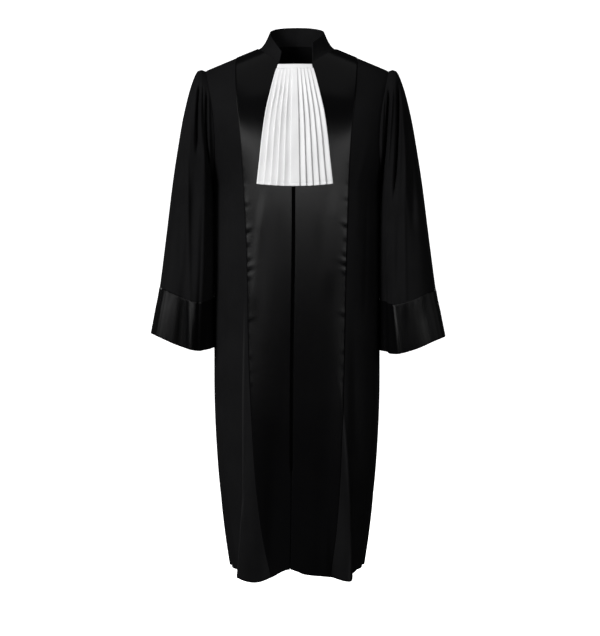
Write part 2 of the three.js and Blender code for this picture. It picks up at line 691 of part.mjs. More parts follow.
// Edges of the pleats across the bib as shares of its half width, each with its rise: the cloth
// climbs from a low point to the folded edge and drops steeply to the next low point.
function pleatSteps() {
  const steps = [{ at: 0, rise: 1 }, { at: BIB.flat, rise: 1 }];
  const wide = (1 - BIB.flat) / BIB.pleats;
  for (let k = 0; k < BIB.pleats; k++) {
    steps.push({ at: BIB.flat + wide * (k + 0.12), rise: 0 });
    if (k < BIB.pleats - 1) steps.push({ at: BIB.flat + wide * (k + 1), rise: 1 });
  }
  steps.push({ at: 1, rise: 0.15 });
  return [...steps.slice(1).reverse().map(({ at, rise }) => ({ at: -at, rise })), ...steps];
}

function onChest(x, z, out) {
  const eps = 0.5;
  const here = bodyPoint("front", x, z);
  const across = bodyPoint("front", x + eps, z).sub(here);
  const up = bodyPoint("front", x, z + eps).sub(here);
  return here.addScaledVector(across.cross(up).normalize(), out);
}

function bibCloth() {
  const steps = pleatSteps();
  const points = [];
  for (let row = 0; row <= BIB.rows; row++) {
    const down = BIB.length * (1 - row / BIB.rows) ** 1.1;
    const half = read(BIB_WIDTH, "down", "half", down + NECK_BAND.height);
    const open = ease(down / 40);
    points.push(
      steps.map(({ at, rise }) => {
        const sag = BIB.sag * (1 - at * at) * (down / BIB.length) ** 2;
        const z = BIB.top - down - sag;
        return onChest(BIB.middle + at * half, z, BIB_BASE + 0.1 + BIB.rise * rise * open);
      }),
    );
  }
  return { points, normals: gridNormals(points, false, false), closed: false, flip: false };
}

function neckBandCloth() {
  const points = [0, 1].map((level) => {
    const z = BIB.top + GAP + NECK_BAND.height * level;
    const out = BIB_BASE + (NECK_BAND.wall - LINEN) / 2 + 0.1;
    return [-1, -0.6, -0.2, 0.2, 0.6, 1].map((at) =>
      onChest(BIB.middle + at * (NECK_BAND.half - 2 * level), z, out),
    );
  });
  return { points, normals: gridNormals(points, false, false), closed: false, flip: false };
}

// The robe

const material = (color, roughness) => new THREE.MeshStandardMaterial({ color, roughness, metalness: 0 });
const matt = material(0x17171a, 0.9);
const satin = material(0x202023, 0.35);
const linen = material(0xeceae6, 0.8);

const robe = new THREE.Group();

function sew(name, geometry, finish) {
  const mesh = new THREE.Mesh(geometry, finish);
  mesh.name = name;
  robe.add(mesh);
}

const fronts = { right: frontCloth("right"), left: frontCloth("left") };
const back = backCloth();
sewBody(fronts, back);
const sleeves = {};
for (const side of Object.keys(SIDES)) sleeves[side] = sleeveCloth(side, fronts[side], back);
const collar = collarCloth(fronts, back);

const onCloth = CLOTH / 2 + GAP + SATIN / 2;
for (const side of Object.keys(SIDES)) {
  sew(`front_${side}`, wall(fronts[side], CLOTH), matt);
  sew(`band_${side}`, wall(columnsOf(fronts[side], 0, BAND_COLUMNS), SATIN, onCloth), satin);
  sew(`sleeve_${side}`, wall(sleeves[side], CLOTH), matt);
  const cuff = rowsOf(sleeves[side], SLEEVE.length - 1, SLEEVE.length - 1 + CUFF_RINGS);
  sew(`cuff_${side}`, wall(cuff, SATIN, onCloth), satin);
}
sew("back", wall(back, CLOTH), matt);
sew("collar", wall(collar, STAND), matt);
sew("underlap", wall(underlapCloth(), CLOTH, -CLOTH - GAP), matt);
sew("jabot", wall(bibCloth(), LINEN), linen);
sew("jabot_band", wall(neckBandCloth(), NECK_BAND.wall), linen);

export default robe;
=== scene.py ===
# %% [markdown]
# # A judge's robe in cloth, satin and pleated cotton
# The robe is shown filled out as if somebody wore it, but it is hollow. Its solids are loaded first
# and never changed. They give the frame: metres, +Z up, the robe's front towards -Y, +X to the
# wearer's left. Each solid is then replaced by a thin shell of cloth with the same form and more
# folds. Sizes below are in millimetres, because a tailor thinks in them.

import bmesh
import bpy
import numpy as np
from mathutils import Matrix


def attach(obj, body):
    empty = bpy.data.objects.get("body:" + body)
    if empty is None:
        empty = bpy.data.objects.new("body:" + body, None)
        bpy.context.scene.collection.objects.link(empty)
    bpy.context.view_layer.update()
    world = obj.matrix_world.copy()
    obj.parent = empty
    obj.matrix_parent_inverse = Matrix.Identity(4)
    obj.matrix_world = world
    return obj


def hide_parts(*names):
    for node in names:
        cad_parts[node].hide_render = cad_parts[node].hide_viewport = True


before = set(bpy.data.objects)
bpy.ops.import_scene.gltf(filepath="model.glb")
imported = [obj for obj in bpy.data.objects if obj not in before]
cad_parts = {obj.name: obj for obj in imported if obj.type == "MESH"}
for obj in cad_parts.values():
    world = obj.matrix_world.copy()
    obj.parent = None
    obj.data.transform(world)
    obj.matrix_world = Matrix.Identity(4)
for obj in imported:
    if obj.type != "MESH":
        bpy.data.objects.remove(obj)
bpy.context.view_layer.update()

# %% [markdown]
# ## Camera
# The photograph was taken from straight ahead, at about the height of the robe's middle, and from
# far enough for the cuffs and hem to show only a little perspective. A level camera four metres away
# with a long lens gives the same picture. The lens is worked out from the height of robe that the
# frame must hold, because that is easier to measure than a focal length.

# %% Place the camera
CAMERA_AWAY = 4.0
FRAME_HEIGHT = 1.59  # metres of robe that the picture is high
SENSOR = 36.0

camera_data = bpy.data.cameras.new("camera")
camera_data.sensor_fit = "VERTICAL"
camera_data.sensor_height = SENSOR
camera_data.lens = SENSOR * CAMERA_AWAY / FRAME_HEIGHT
camera = bpy.data.objects.new("camera", camera_data)
camera.location = (0.0075, -CAMERA_AWAY, -0.670)
camera.rotation_euler = (np.pi / 2, 0, 0)
bpy.context.scene.collection.objects.link(camera)
bpy.context.scene.camera = camera
print("lens:", round(camera_data.lens, 1), "mm")

# %% [markdown]
# ## Reading a table
# A garment is drawn from a few measurements at a few heights. Each table below is such a list, with
# named columns. Between its rows a smooth curve is read, as a tailor joins marks with a curved rule.
# The slope at each row comes from its two neighbours, so the curve never kinks.

# %% Tables and small helpers
MM = 0.001


def table(columns, *rows):
    """A table with named columns, as {name: values}."""
    return {name: np.array(values, float) for name, values in zip(columns.split(), zip(*rows))}


def read(rows, by, want, at):
    """One named column of a table, read between its rows along a smooth curve."""
    x, y = rows[by], rows[want]
    order = np.arange(len(x))
    low, high = np.maximum(order - 1, 0), np.minimum(order + 1, len(x) - 1)
    slope = (y[high] - y[low]) / (x[high] - x[low])
    at = np.clip(at, x[0], x[-1])
    k = np.clip(np.searchsorted(x, at, side="right") - 1, 0, len(x) - 2)
    step = x[k + 1] - x[k]
    t = (at - x[k]) / step
    start = (1 + 2 * t) * (1 - t) ** 2 * y[k] + t * (1 - t) ** 2 * step * slope[k]
    return start + t * t * (3 - 2 * t) * y[k + 1] - t * t * (1 - t) * step * slope[k + 1]


def mix(a, b, t):
    return a + (b - a) * t


def ease(t):
    t = np.clip(t, 0, 1)
    return t * t * (3 - 2 * t)


def unit(vectors):
    return vectors / np.maximum(np.linalg.norm(vectors, axis=-1, keepdims=True), 1e-9)


def hump(share):
    """A soft rise that is 1 at share 0 and 0 from share 1 on."""
    return np.where(share < 1, np.cos(np.minimum(share, 1) * np.pi / 2) ** 2, 0)


def marks(*stretches):
    """Evenly spaced marks over several stretches (first, last, how many) that touch."""
    return np.unique(np.concatenate([np.linspace(*stretch) for stretch in stretches]))


# %% [markdown]
# ## The body's form
# The body of the robe is a tube. Low down it is a rounded oblong, a little squarer than an ellipse.
# Above the middle of the armhole its depth shrinks to nothing along the shoulder line, so front and
# back meet there. Two ways to make such a form are to sculpt it, or to work it out. Working it out
# keeps every seam exact, because both panels read the same functions where they meet.

# %% Body sizes
NECK_X, NECK_RISE = 98, 34
SHOULDER_X, SHOULDER_Z = 229, -54
UNDERARM_X, UNDERARM_Z = 207, -345
ARMHOLE_Z, ARMHOLE_HALF = (SHOULDER_Z + UNDERARM_Z) / 2, (SHOULDER_Z - UNDERARM_Z) / 2
ARMHOLE_INSET = 14
ARMHOLE_DEPTH = {"front": 82, "back": 86}
NECK_END = {"right": 45, "left": 38}
NECK_END_Z, NECK_BACK_Z, NECK_VEE = -44, 14, 85
POWER = 2.4  # 2 is an ellipse, more is squarer
SIDES = {"right": -1, "left": 1}

BODY = table(
    "z side front back",
    (-1310, 158, 126, 136),
    (-1225, 173, 126, 134),
    (-1125, 188, 126, 130),
    (-1020, 198, 127, 126),
    (-880, 205, 128, 121),
    (-740, 206, 128, 116),
    (-500, 206, 129, 109),
    (-345, 207, 130, 110),
    (-200, 207, 128, 112),
    (-60, 207, 122, 108),
    (40, 207, 120, 106),
)
HEM_Z = -1290.0  # the hem's mean height, where angles along it are measured
HEM = table(  # height of the hem round the body, minus angles on the wearer's right
    "angle z",
    (-180, -1300),
    (-130, -1298),
    (-70, -1290),
    (-52, -1298),
    (-35, -1312),
    (-18, -1298),
    (-4, -1279),
    (4, -1291),
    (28, -1300),
    (41, -1309),
    (54, -1297),
    (70, -1290),
    (130, -1298),
    (180, -1300),
)


def ridge(x):
    """Height of the shoulder line at x."""
    reach = np.abs(x)
    inside = NECK_RISE * (1 - np.minimum(reach / NECK_X, 1) ** 1.3)
    return np.where(reach < NECK_X, inside, SHOULDER_Z * (reach - NECK_X) / (SHOULDER_X - NECK_X))


def over_shoulder(x, z):
    """Share of the full depth that is left where the cloth rounds over the shoulder."""
    t = np.maximum((z - ARMHOLE_Z) / (ridge(x) - ARMHOLE_Z), 0)
    return np.sqrt(np.maximum(0, 1 - t * t))


def section(r):
    """Depth of the rounded oblong at a share r of its half width."""
    return (1 - np.minimum(1, np.abs(r)) ** POWER) ** (1 / POWER)


def section_angle(x, wide):
    """Angle from the front, in radians, at x on an oblong of half width wide."""
    return np.arcsin(np.minimum(1, x / wide) ** (POWER / 2))


def section_x(angle, wide):
    return wide * np.sin(angle) ** (2 / POWER)


def panel_edge(z):
    """x of the side seam, and of the armhole above it."""
    share = np.clip((z - UNDERARM_Z) / (SHOULDER_Z - UNDERARM_Z), 0, 1)
    armhole = mix(UNDERARM_X, SHOULDER_X, share) - ARMHOLE_INSET * np.sin(np.pi * share)
    return np.where(z <= UNDERARM_Z, read(BODY, "z", "side", z), armhole)


def armhole_depth(part, z):
    t = (z - ARMHOLE_Z) / ARMHOLE_HALF
    return ARMHOLE_DEPTH[part] * np.sqrt(np.maximum(0, 1 - t * t))


def spread(part, z):
    """Half width of the whole section curve, of which a panel ends at the armhole."""
    level = np.minimum(z, SHOULDER_Z - 0.5)
    edge = panel_edge(level)
    full = read(BODY, "z", part, level) * over_shoulder(edge, level)
    ratio = np.minimum(0.98, armhole_depth(part, level) / full)
    return np.where(z <= UNDERARM_Z, panel_edge(z), edge / section(ratio))


def ring_angle(part, x, z):
    """Degrees round the body: 0 in front, 90 at the wearer's left side, minus on the right."""
    angle = np.degrees(section_angle(np.abs(x), spread(part, z)))
    return np.where(x < 0, -1, 1) * (angle if part == "front" else 180 - angle)


print("half width at the chest:", float(np.round(panel_edge(-345.0), 1)), "mm")

# %% [markdown]
# ## Folds and creases of the body
# Cloth that hangs from the shoulders falls into tubes that open towards the hem. Between them lie
# small creases, uneven in length and depth. A cloth simulation would make some of both, but not the
# ones in the photograph, so each is a row in a table. A fold is a wide wave that grows downwards. A
# crease is a soft ridge, or with a minus height a trough, on a line that may lean or bow. Three fold
# edges show a highlight along their ridges, which is painted into the cloth's colour. They are listed
# too, in the same form as creases, and become a mask for that painted highlight in the material.

# %% Fold and crease tables of the body
FOLDS = table(  # lean is how much nearer the middle a fold stands where it starts
    "angle inner outer height start lean",
    (-47, 24, 9, 30, -420, 19),
    (-68, 9, 12, -6, -900, 0),
    (43, 15, 11, 27, -560, -14),
    (68, 11, 12, -5, -900, 0),
    (-114, 16, 16, 22, -700, 0),
    (-147, 17, 16, 32, -430, 0),
    (180, 16, 16, 26, -560, 0),
    (149, 15, 16, 33, -480, 0),
    (117, 16, 16, 24, -660, 0),
)
CREASES = table(
    "angle to top bottom width height bow",
    (-33.5, -36.5, -600, -1190, 1.4, 2.6, 0),
    (-33, -52, -1080, -1340, 1.4, 3.4, 0),
    (-30, -35, -800, -1250, 3.4, -1.4, 1),
    (-13, -16, -900, -1250, 3.6, -1.2, 0.6),
    (-20, -22, -1040, -1296, 2.8, 1.0, 0),
    (-55, -48, -330, -690, 3.0, -1.0, 1),
    (-44, -43, -200, -560, 4.0, 1.0, -1),
    (-9, -11, -380, -760, 3.4, -0.6, 1),
    (-18, -27, -350, -700, 3.4, 1.5, -1),
    (24, 42.5, -780, -1340, 1.7, 2.8, -0.5),
    (27, 31, -820, -1250, 3.2, -1.3, 0),
    (12, 14, -980, -1250, 3.4, -1.0, 0.5),
    (20, 21, -1080, -1290, 2.6, 0.9, 0),
    (53, 49, -320, -720, 3.2, -1.0, 1),
    (44, 42, -210, -520, 4.0, 0.9, -1),
    (10, 9, -400, -820, 3.4, -0.6, 1),
    (22, 17, -330, -640, 4.0, 1.2, 0),
    (-64, -66, -520, -1290, 5.0, 1.6, 1),
    (64, 66, -560, -1290, 5.0, 1.4, -1),
    (-80, -79, -420, -1200, 4.0, -1.8, 1),
    (80, 80, -440, -1240, 4.0, -1.8, -1),
    (-96, -99, -760, -1290, 3.6, -4.0, 0.6),
    (-128, -131, -560, -1295, 4.2, -5.0, 1),
    (-140, -143, -360, -900, 3.4, 2.4, -1),
    (-153, -156, -700, -1290, 3.0, 3.2, 0.6),
    (-165, -167, -420, -1296, 4.0, -5.0, -1),
    (173, 172, -640, -1250, 3.0, 2.6, 0.8),
    (166, 164, -380, -1298, 4.0, -5.2, 1),
    (154, 152, -600, -1280, 3.0, 3.0, -0.6),
    (141, 142, -340, -880, 3.6, 2.2, 1),
    (133, 133, -540, -1296, 4.2, -4.8, -1),
    (110, 113, -820, -1290, 3.2, 2.8, 0),
    (97, 99, -740, -1290, 3.6, -3.8, -0.6),
    (-160, -168, -110, -420, 5.0, -1.6, 2),
    (160, 167, -120, -400, 5.0, -1.5, -2),
    (-125, -140, -140, -330, 5.0, 1.6, 2),
    (126, 140, -150, -340, 5.0, 1.5, -2),
)

PAINTED_HIGHLIGHT = table(  # fold edges with a painted highlight, height 1 is all the way
    "angle to top bottom width height bow",
    (-33.5, -36.5, -600, -1190, 0.9, 1.0, 0),
    (-33, -52, -1080, -1340, 0.9, 1.0, 0),
    (24, 42.5, -780, -1340, 0.9, 0.7, -0.5),
)


FULL_FOLD_Z = -1300  # folds have their whole height here
OPEN_END_Z = -1200  # a crease that ends below this runs out over the hem


def turn(angle):
    """Brings an angle between -180 and 180 degrees."""
    return (angle + 180) % 360 - 180


def fold_height(angle, z):
    """Sum of the waves that open towards the hem."""
    height = np.zeros(np.broadcast(angle, z).shape)
    for at, inner, outer, rise, start, lean in zip(*FOLDS.values()):
        down = (start - z) / (start - FULL_FOLD_Z)
        off = turn(angle - at - lean * (1 - np.clip(down, 0, 1) ** 5))
        height += rise * ease(down) * hump(np.abs(off) / np.where(off * at > 0, outer, inner))
    return height


def crease_height(creases, angle, z):
    """Sum of a table's soft ridges and troughs. z falls from a crease's top to its bottom."""
    height = np.zeros(np.broadcast(angle, z).shape)
    for at, to, top, bottom, width, rise, bow in zip(*creases.values()):
        t = (top - z) / (top - bottom)
        middle = mix(at, to, t) + bow * np.sin(np.pi * np.clip(t, 0, 1))
        across = np.exp(-((turn(angle - middle) / (width * mix(0.7, 1.15, np.clip(t, 0, 1)))) ** 2))
        ends = ease(t / 0.3) * (ease((1 - t) / 0.3) if bottom > OPEN_END_Z else 1)
        height += rise * across * ends
    return height


print("folds:", len(FOLDS["angle"]), "creases:", len(CREASES["angle"]))

# %% [markdown]
# ## A point of the body cloth
# Every panel asks this one function where its cloth lies. Folds and creases push the cloth straight
# out from the plain form, along its normal. A normal from the section's own formula is smoother than
# one measured on a mesh, and it is the same for two panels on each side of a seam. Satin mirrors the
# lamps, so even a faint bend shows in it as a line. The form's slope changes at the underarm, where
# two formulas meet. Away from the seams the depth is therefore a mean over a hand's width of height.

# %% Middle surface of the body cloth
EVEN_REACH = 55
EVEN_STEPS = np.linspace(-EVEN_REACH, EVEN_REACH, 11)


def plain_depth(part, x, z):
    """How far the uncreased form stands in front of or behind the middle plane."""
    return read(BODY, "z", part, z) * section(x / spread(part, z)) * over_shoulder(x, z)


def soft_depth(part, x, z):
    """The same, with its bends at the chest and the underarm evened out away from the armholes."""
    exact = plain_depth(part, x, z)
    even = sum(plain_depth(part, x, z + step) for step in EVEN_STEPS) / len(EVEN_STEPS)
    inner = 1 - ease((np.abs(x) / spread(part, z) - 0.45) / 0.3)
    return mix(exact, even, inner * ease((-90 - z) / 80))


def body_point(part, x, z):
    """Middle of the body cloth at x and z, in front of or behind the side seams."""
    facing = -1 if part == "front" else 1
    depth, wide = read(BODY, "z", part, z), spread(part, z)
    across = np.abs(x / wide) ** (POWER - 1) / wide
    along = section(x / wide) ** (POWER - 1) / depth
    outward = unit(np.stack([np.sign(x) * across, facing * along, 0 * x], -1))
    y = facing * soft_depth(part, x, z)
    angle = ring_angle(part, x, z)
    calm = ease((SHOULDER_Z - 20 - z) / 90)
    lift = fold_height(angle, z) + crease_height(CREASES, angle, z) * calm
    return np.stack([x, y, z], -1) + outward * lift[..., None]


print("chest point:", np.round(body_point("front", np.array([0.0]), np.array([-345.0]))[0], 1))

# %% [markdown]
# ## From a grid of points to a piece of cloth
# A piece of cloth is a grid of points with a thickness. One could model a single sheet and add a
# Solidify modifier, but then the rim stays square. Here both faces are built from the grid and
# joined by a rim that bulges a little, as a folded or hemmed edge does. Each corner also stores how
# far it lies along the cloth in metres, so that the weave can follow the thread.

# %% Directions and lengths on a grid
def grid_normals(points, closed=False, flip=False):
    """Outward normals of a grid. A closed grid's last column repeats its first."""
    up = np.gradient(points, axis=0)
    along = np.gradient(points, axis=1)
    if closed:
        along[:, 0] = along[:, -1] = (points[:, 1] - points[:, -2]) / 2
    return unit(np.cross(along, up)) * (-1 if flip else 1)


def cloth_lengths(points):
    """How far along the thread each grid point lies, across and down, in metres."""
    across = np.linalg.norm(np.diff(points, axis=1), axis=-1)
    down = np.linalg.norm(np.diff(points, axis=0), axis=-1)
    u = np.concatenate([np.zeros((len(points), 1)), np.cumsum(across, axis=1)], axis=1)
    v = np.concatenate([np.zeros((1, points.shape[1])), np.cumsum(down, axis=0)], axis=0)
    u = u - u[:, u.shape[1] // 2 :][:, :1]
    return np.stack([u, v], -1) * MM


# %% Both faces and the rim of a piece
RIM_BULGE = 0.42  # how far the rim stands out, as a share of the thickness


def rim_loops(rows, columns, closed):
    """Grid places along the cloth's edge: one loop, or on a tube one loop at each end."""
    foot = [(0, j) for j in range(columns)]
    top = [(rows - 1, j) for j in range(columns)]
    if closed:
        return [foot, top]
    last = [(i, columns - 1) for i in range(1, rows)]
    first = [(i, 0) for i in range(rows - 2, -1, -1)]
    return [foot + last + top[-2::-1] + first]


def rim_points(middle, i, j, thickness, closed):
    """The line along which the rim bulges out."""
    rows, columns = middle.shape[:2]
    up, along = unit(np.gradient(middle, axis=0)), unit(np.gradient(middle, axis=1))
    out = up[i, j] * ((i == rows - 1) * 1.0 - (i == 0))[:, None]
    if not closed:
        out += along[i, j] * ((j == columns - 1) * 1.0 - (j == 0))[:, None]
    return middle[i, j] + unit(out) * thickness * RIM_BULGE


def quads(*corners):
    return np.stack(corners, -1)


def wall_parts(points, thickness, closed, flip, shift):
    """Corners and faces of a wall of cloth, and the grid place that each corner belongs to."""
    rows, columns = points.shape[:2]
    normals = grid_normals(points, closed, flip)
    middle = points + normals * shift
    verts = [(middle + normals * half).reshape(-1, 3) for half in (thickness / 2, -thickness / 2)]
    places = [np.indices((rows, columns)).reshape(2, -1)] * 2
    at = lambda i, j, layer=0: (layer * rows + i) * columns + j
    i, j = np.indices((rows - 1, columns - 1)).reshape(2, -1)
    faces = [quads(at(i, j), at(i, j + 1), at(i + 1, j + 1), at(i + 1, j))]
    faces += [quads(at(i, j, 1), at(i + 1, j, 1), at(i + 1, j + 1, 1), at(i, j + 1, 1))]
    count = 2 * rows * columns
    for loop in rim_loops(rows, columns, closed):
        i, j = np.array(loop).T
        verts.append(rim_points(middle, i, j, thickness, closed))
        places.append(np.array([i, j]))
        rim = count + np.arange(len(i) - 1)
        top, low = at(i, j), at(i, j, 1)
        faces += [quads(top[:-1], rim, rim + 1, top[1:]), quads(rim, low[:-1], low[1:], rim + 1)]
        count += len(i)
    return np.concatenate(verts), np.concatenate(faces), tuple(np.concatenate(places, axis=1))


# %% From the parts to an object
def close_and_smooth(mesh):
    """Merges doubled corners, as along a tube's length, and turns all faces outwards."""
    shape = bmesh.new()
    shape.from_mesh(mesh)
    bmesh.ops.remove_doubles(shape, verts=shape.verts, dist=1e-6)
    bmesh.ops.recalc_face_normals(shape, faces=shape.faces)
    for face in shape.faces:
        face.smooth = True
    shape.to_mesh(mesh)
    shape.free()


def report_cut(name, points, face_count):
    """Prints how large the cloth is when it is laid flat."""
    across, down = np.diff(points, axis=1), np.diff(points, axis=0)
    area = np.linalg.norm(np.cross(across[:-1], down[:, :-1]), axis=-1).sum() * MM * MM
    wide = np.linalg.norm(across, axis=-1).sum(axis=1).max() * MM
    long = np.linalg.norm(down, axis=-1).sum(axis=0).max() * MM
    print(f"{name}: {wide:.3f} x {long:.3f} m, cloth {area:.4f} m2, {face_count} faces")


def wall(name, points, thickness, material, closed=False, flip=False, shift=0.0, painted_highlight=None):
    """An object: the grid's cloth, moved out by shift, with a rounded rim."""
    verts, faces, places = wall_parts(points, thickness, closed, flip, shift)
    mesh = bpy.data.meshes.new(name)
    mesh.from_pydata((verts * MM).tolist(), [], faces.tolist())
    corner = np.empty(len(mesh.loops), np.int64)
    mesh.loops.foreach_get("vertex_index", corner)
    lengths = cloth_lengths(points)[places]
    mesh.uv_layers.new(name="thread").data.foreach_set("uv", lengths[corner].ravel())
    # A mask for a painted highlight along fold ridges, kept on the corners for the material.
    if painted_highlight is not None:
        mask = mesh.attributes.new("painted_highlight", "FLOAT", "POINT")
        mask.data.foreach_set("value", painted_highlight[places].astype(np.float32))
    close_and_smooth(mesh)
    mesh.materials.append(material)
    piece = bpy.data.objects.new(name, mesh)
    bpy.context.scene.collection.objects.link(piece)
    report_cut(name, points, len(mesh.polygons))
    return piece


# %% [markdown]
# ## Weave
# All the cloths here are woven, and differ in how the threads cross. In a twill each weft thread
# passes over two and under two, one step further on each row, which draws fine slanting ribs. A
# plain weave is a chequer. Both are the product of waves along and across the thread, so one node
# group with a lean input makes both, and each material sets its own thread count. It reads the
# thread lengths stored in the mesh, so the ribs turn with the cloth.

# %% Node helpers and the weave group
def new_group(name, inputs, outputs):
    group = bpy.data.node_groups.new(name, "ShaderNodeTree")
    for label, kind, value in inputs:
        socket = group.interface.new_socket(label, in_out="INPUT", socket_type="NodeSocket" + kind)
        if value is not None:
            socket.default_value = value
    for label, kind in outputs:
        group.interface.new_socket(label, in_out="OUTPUT", socket_type="NodeSocket" + kind)
    return group, group.nodes.new("NodeGroupInput").outputs, group.nodes.new("NodeGroupOutput").inputs


def link(tree, value, socket):
    """Feeds a socket from another one, or sets it to a plain value."""
    if isinstance(value, bpy.types.NodeSocket):
        tree.links.new(value, socket)
    else:
        socket.default_value = value


def math(tree, operation, a, b=0.0, c=0.0):
    node = tree.nodes.new("ShaderNodeMath")
    node.operation = operation
    for value, socket in zip((a, b, c), node.inputs):
        link(tree, value, socket)
    return node.outputs[0]


def noise(tree, vector, scale, detail=3.0, roughness=0.55):
    node = tree.nodes.new("ShaderNodeTexNoise")
    link(tree, vector, node.inputs["Vector"])
    link(tree, scale, node.inputs["Scale"])
    node.inputs["Detail"].default_value = detail
    node.inputs["Roughness"].default_value = roughness
    return node.outputs["Fac"]


def remap(tree, value, low, high, to_low, to_high):
    node = tree.nodes.new("ShaderNodeMapRange")
    for item, socket in zip((value, low, high, to_low, to_high), node.inputs):
        link(tree, item, socket)
    return node.outputs[0]


def make_weave():
    inputs = [("Thread", "Vector", None), ("Ribs Per Metre", "Float", 700.0), ("Lean", "Float", 1.0)]
    inputs += [("Unevenness", "Float", 0.3)]
    group, given, out = new_group("weave", inputs, [("Height", "Float"), ("Slub", "Float")])
    split = group.nodes.new("ShaderNodeSeparateXYZ")
    link(group, given["Thread"], split.inputs[0])
    turns = math(group, "MULTIPLY", given["Ribs Per Metre"], 2 * np.pi)
    across = math(group, "MULTIPLY", split.outputs[0], turns)
    down = math(group, "MULTIPLY", split.outputs[1], turns)
    streak = group.nodes.new("ShaderNodeMapping")
    streak.inputs["Scale"].default_value = (1.0, 0.06, 1.0)
    link(group, given["Thread"], streak.inputs["Vector"])
    slub = noise(group, streak.outputs[0], 900.0, 2.0)
    wander = math(group, "MULTIPLY_ADD", noise(group, given["Thread"], 260.0, 2.0), 14.0, across)
    rib = math(group, "SINE", math(group, "MULTIPLY_ADD", down, given["Lean"], wander))
    weft = math(group, "SINE", math(group, "MULTIPLY", down, 2.0))
    woven = math(group, "MULTIPLY_ADD", math(group, "MULTIPLY", rib, weft), 0.35, rib)
    link(group, math(group, "MULTIPLY_ADD", slub, given["Unevenness"], woven), out["Height"])
    link(group, slub, out["Slub"])
    return group


weave = make_weave()
print("group:", weave.name, [item.name for item in weave.interface.items_tree])

# %% [markdown]
# ## Nap, handling and a painted highlight
# A new robe is not one flat black. Broad patches have been pressed or handled a little more than
# others, and short fibres catch light. A second group blends a colour between two tones with large
# soft noise and specks it with fine noise, and gives a roughness that goes with it. Where its mask
# input is above 0 it goes over to a third, lighter colour: a highlight painted along fold ridges.
# Painting these ridges by hand would do too, but a mask from the crease table stays on its fold.
# Every material uses the group with its own amounts.

# %% The nap group
def blend(tree, share, first, second):
    """Colour first where share is 0, second where it is 1."""
    node = tree.nodes.new("ShaderNodeMix")
    node.data_type = "RGBA"
    link(tree, share, node.inputs[0])
    link(tree, first, node.inputs[6])
    link(tree, second, node.inputs[7])
    return node.outputs[2]


def make_nap_and_painted_highlight():
    tones = ("Colour", "Pressed Colour", "Painted Highlight Colour")
    inputs = [(label, "Color", (0.01, 0.01, 0.01, 1)) for label in tones]
    inputs += [("Painted Highlight", "Float", 0.0), ("Patch Size", "Float", 7.0), ("Fibre Amount", "Float", 0.2)]
    inputs += [("Roughness", "Float", 0.8), ("Roughness Change", "Float", 0.08)]
    group, given, out = new_group("nap_and_painted_highlight", inputs, [("Colour", "Color"), ("Roughness", "Float")])
    place = group.nodes.new("ShaderNodeTexCoord").outputs["Object"]
    patches = remap(group, noise(group, place, given["Patch Size"], 4.0), 0.35, 0.68, 0.0, 1.0)
    fibres = remap(group, noise(group, place, 1400.0, 2.0), 0.35, 0.75, 0.0, given["Fibre Amount"])
    share = math(group, "ADD", math(group, "MULTIPLY", patches, 0.7), fibres)
    cloth = blend(group, share, given["Colour"], given["Pressed Colour"])
    # A lighter colour where the mask is above 0: a painted highlight on fold ridges.
    link(group, blend(group, given["Painted Highlight"], cloth, given["Painted Highlight Colour"]), out["Colour"])
    change = math(group, "MULTIPLY", math(group, "SUBTRACT", patches, 0.5), given["Roughness Change"])
    link(group, math(group, "ADD", given["Roughness"], change), out["Roughness"])
    return group


nap_and_painted_highlight = make_nap_and_painted_highlight()
print("group:", nap_and_painted_highlight.name)

# %% [markdown]
# ## The cloths
# Three materials dress the robe: matt black gabardine, black satin with a soft sheen, and pressed
# white cotton. What differs over the surface comes from the two groups. What is the same all over,
# such as how strongly the surface reflects, is set on the shader itself. The weave only feeds a
# bump, because threads are too fine to be modelled.

# %% Make a woven material
def place_group(tree, group, values):
    """A node group in a material, with the material's own values on its named inputs."""
    node = tree.nodes.new("ShaderNodeGroup")
    node.node_tree = group
    for label, value in values.items():
        link(tree, value, node.inputs[label])
    return node


def grey(level, blue=0.0):
    """A near grey as a colour, a little bluer by the given amount."""
    return (level, level, level + blue, 1)


def woven_material(name, threads, tones, specular, bump, painted_highlight=False):
    material = bpy.data.materials.new(name)
    material.use_nodes = True
    tree = material.node_tree
    shader = tree.nodes["Principled BSDF"]
    thread = tree.nodes.new("ShaderNodeUVMap")
    thread.uv_map = "thread"
    cloth = place_group(tree, weave, {"Thread": thread.outputs[0], **threads})
    tone = place_group(tree, nap_and_painted_highlight, tones)
    # Where the mesh holds a mask, the colour is lightened there: a painted highlight.
    if painted_highlight:
        mask = tree.nodes.new("ShaderNodeAttribute")
        mask.attribute_name = "painted_highlight"
        link(tree, mask.outputs["Fac"], tone.inputs["Painted Highlight"])
    link(tree, tone.outputs["Colour"], shader.inputs["Base Color"])
    link(tree, tone.outputs["Roughness"], shader.inputs["Roughness"])
    relief = tree.nodes.new("ShaderNodeBump")
    relief.inputs["Strength"].default_value = bump
    relief.inputs["Distance"].default_value = THREAD_RELIEF * MM
    link(tree, cloth.outputs["Height"], relief.inputs["Height"])
    link(tree, relief.outputs["Normal"], shader.inputs["Normal"])
    shader.inputs["Specular IOR Level"].default_value = specular
    return material


# %% The three cloths
THREAD_RELIEF = 0.1

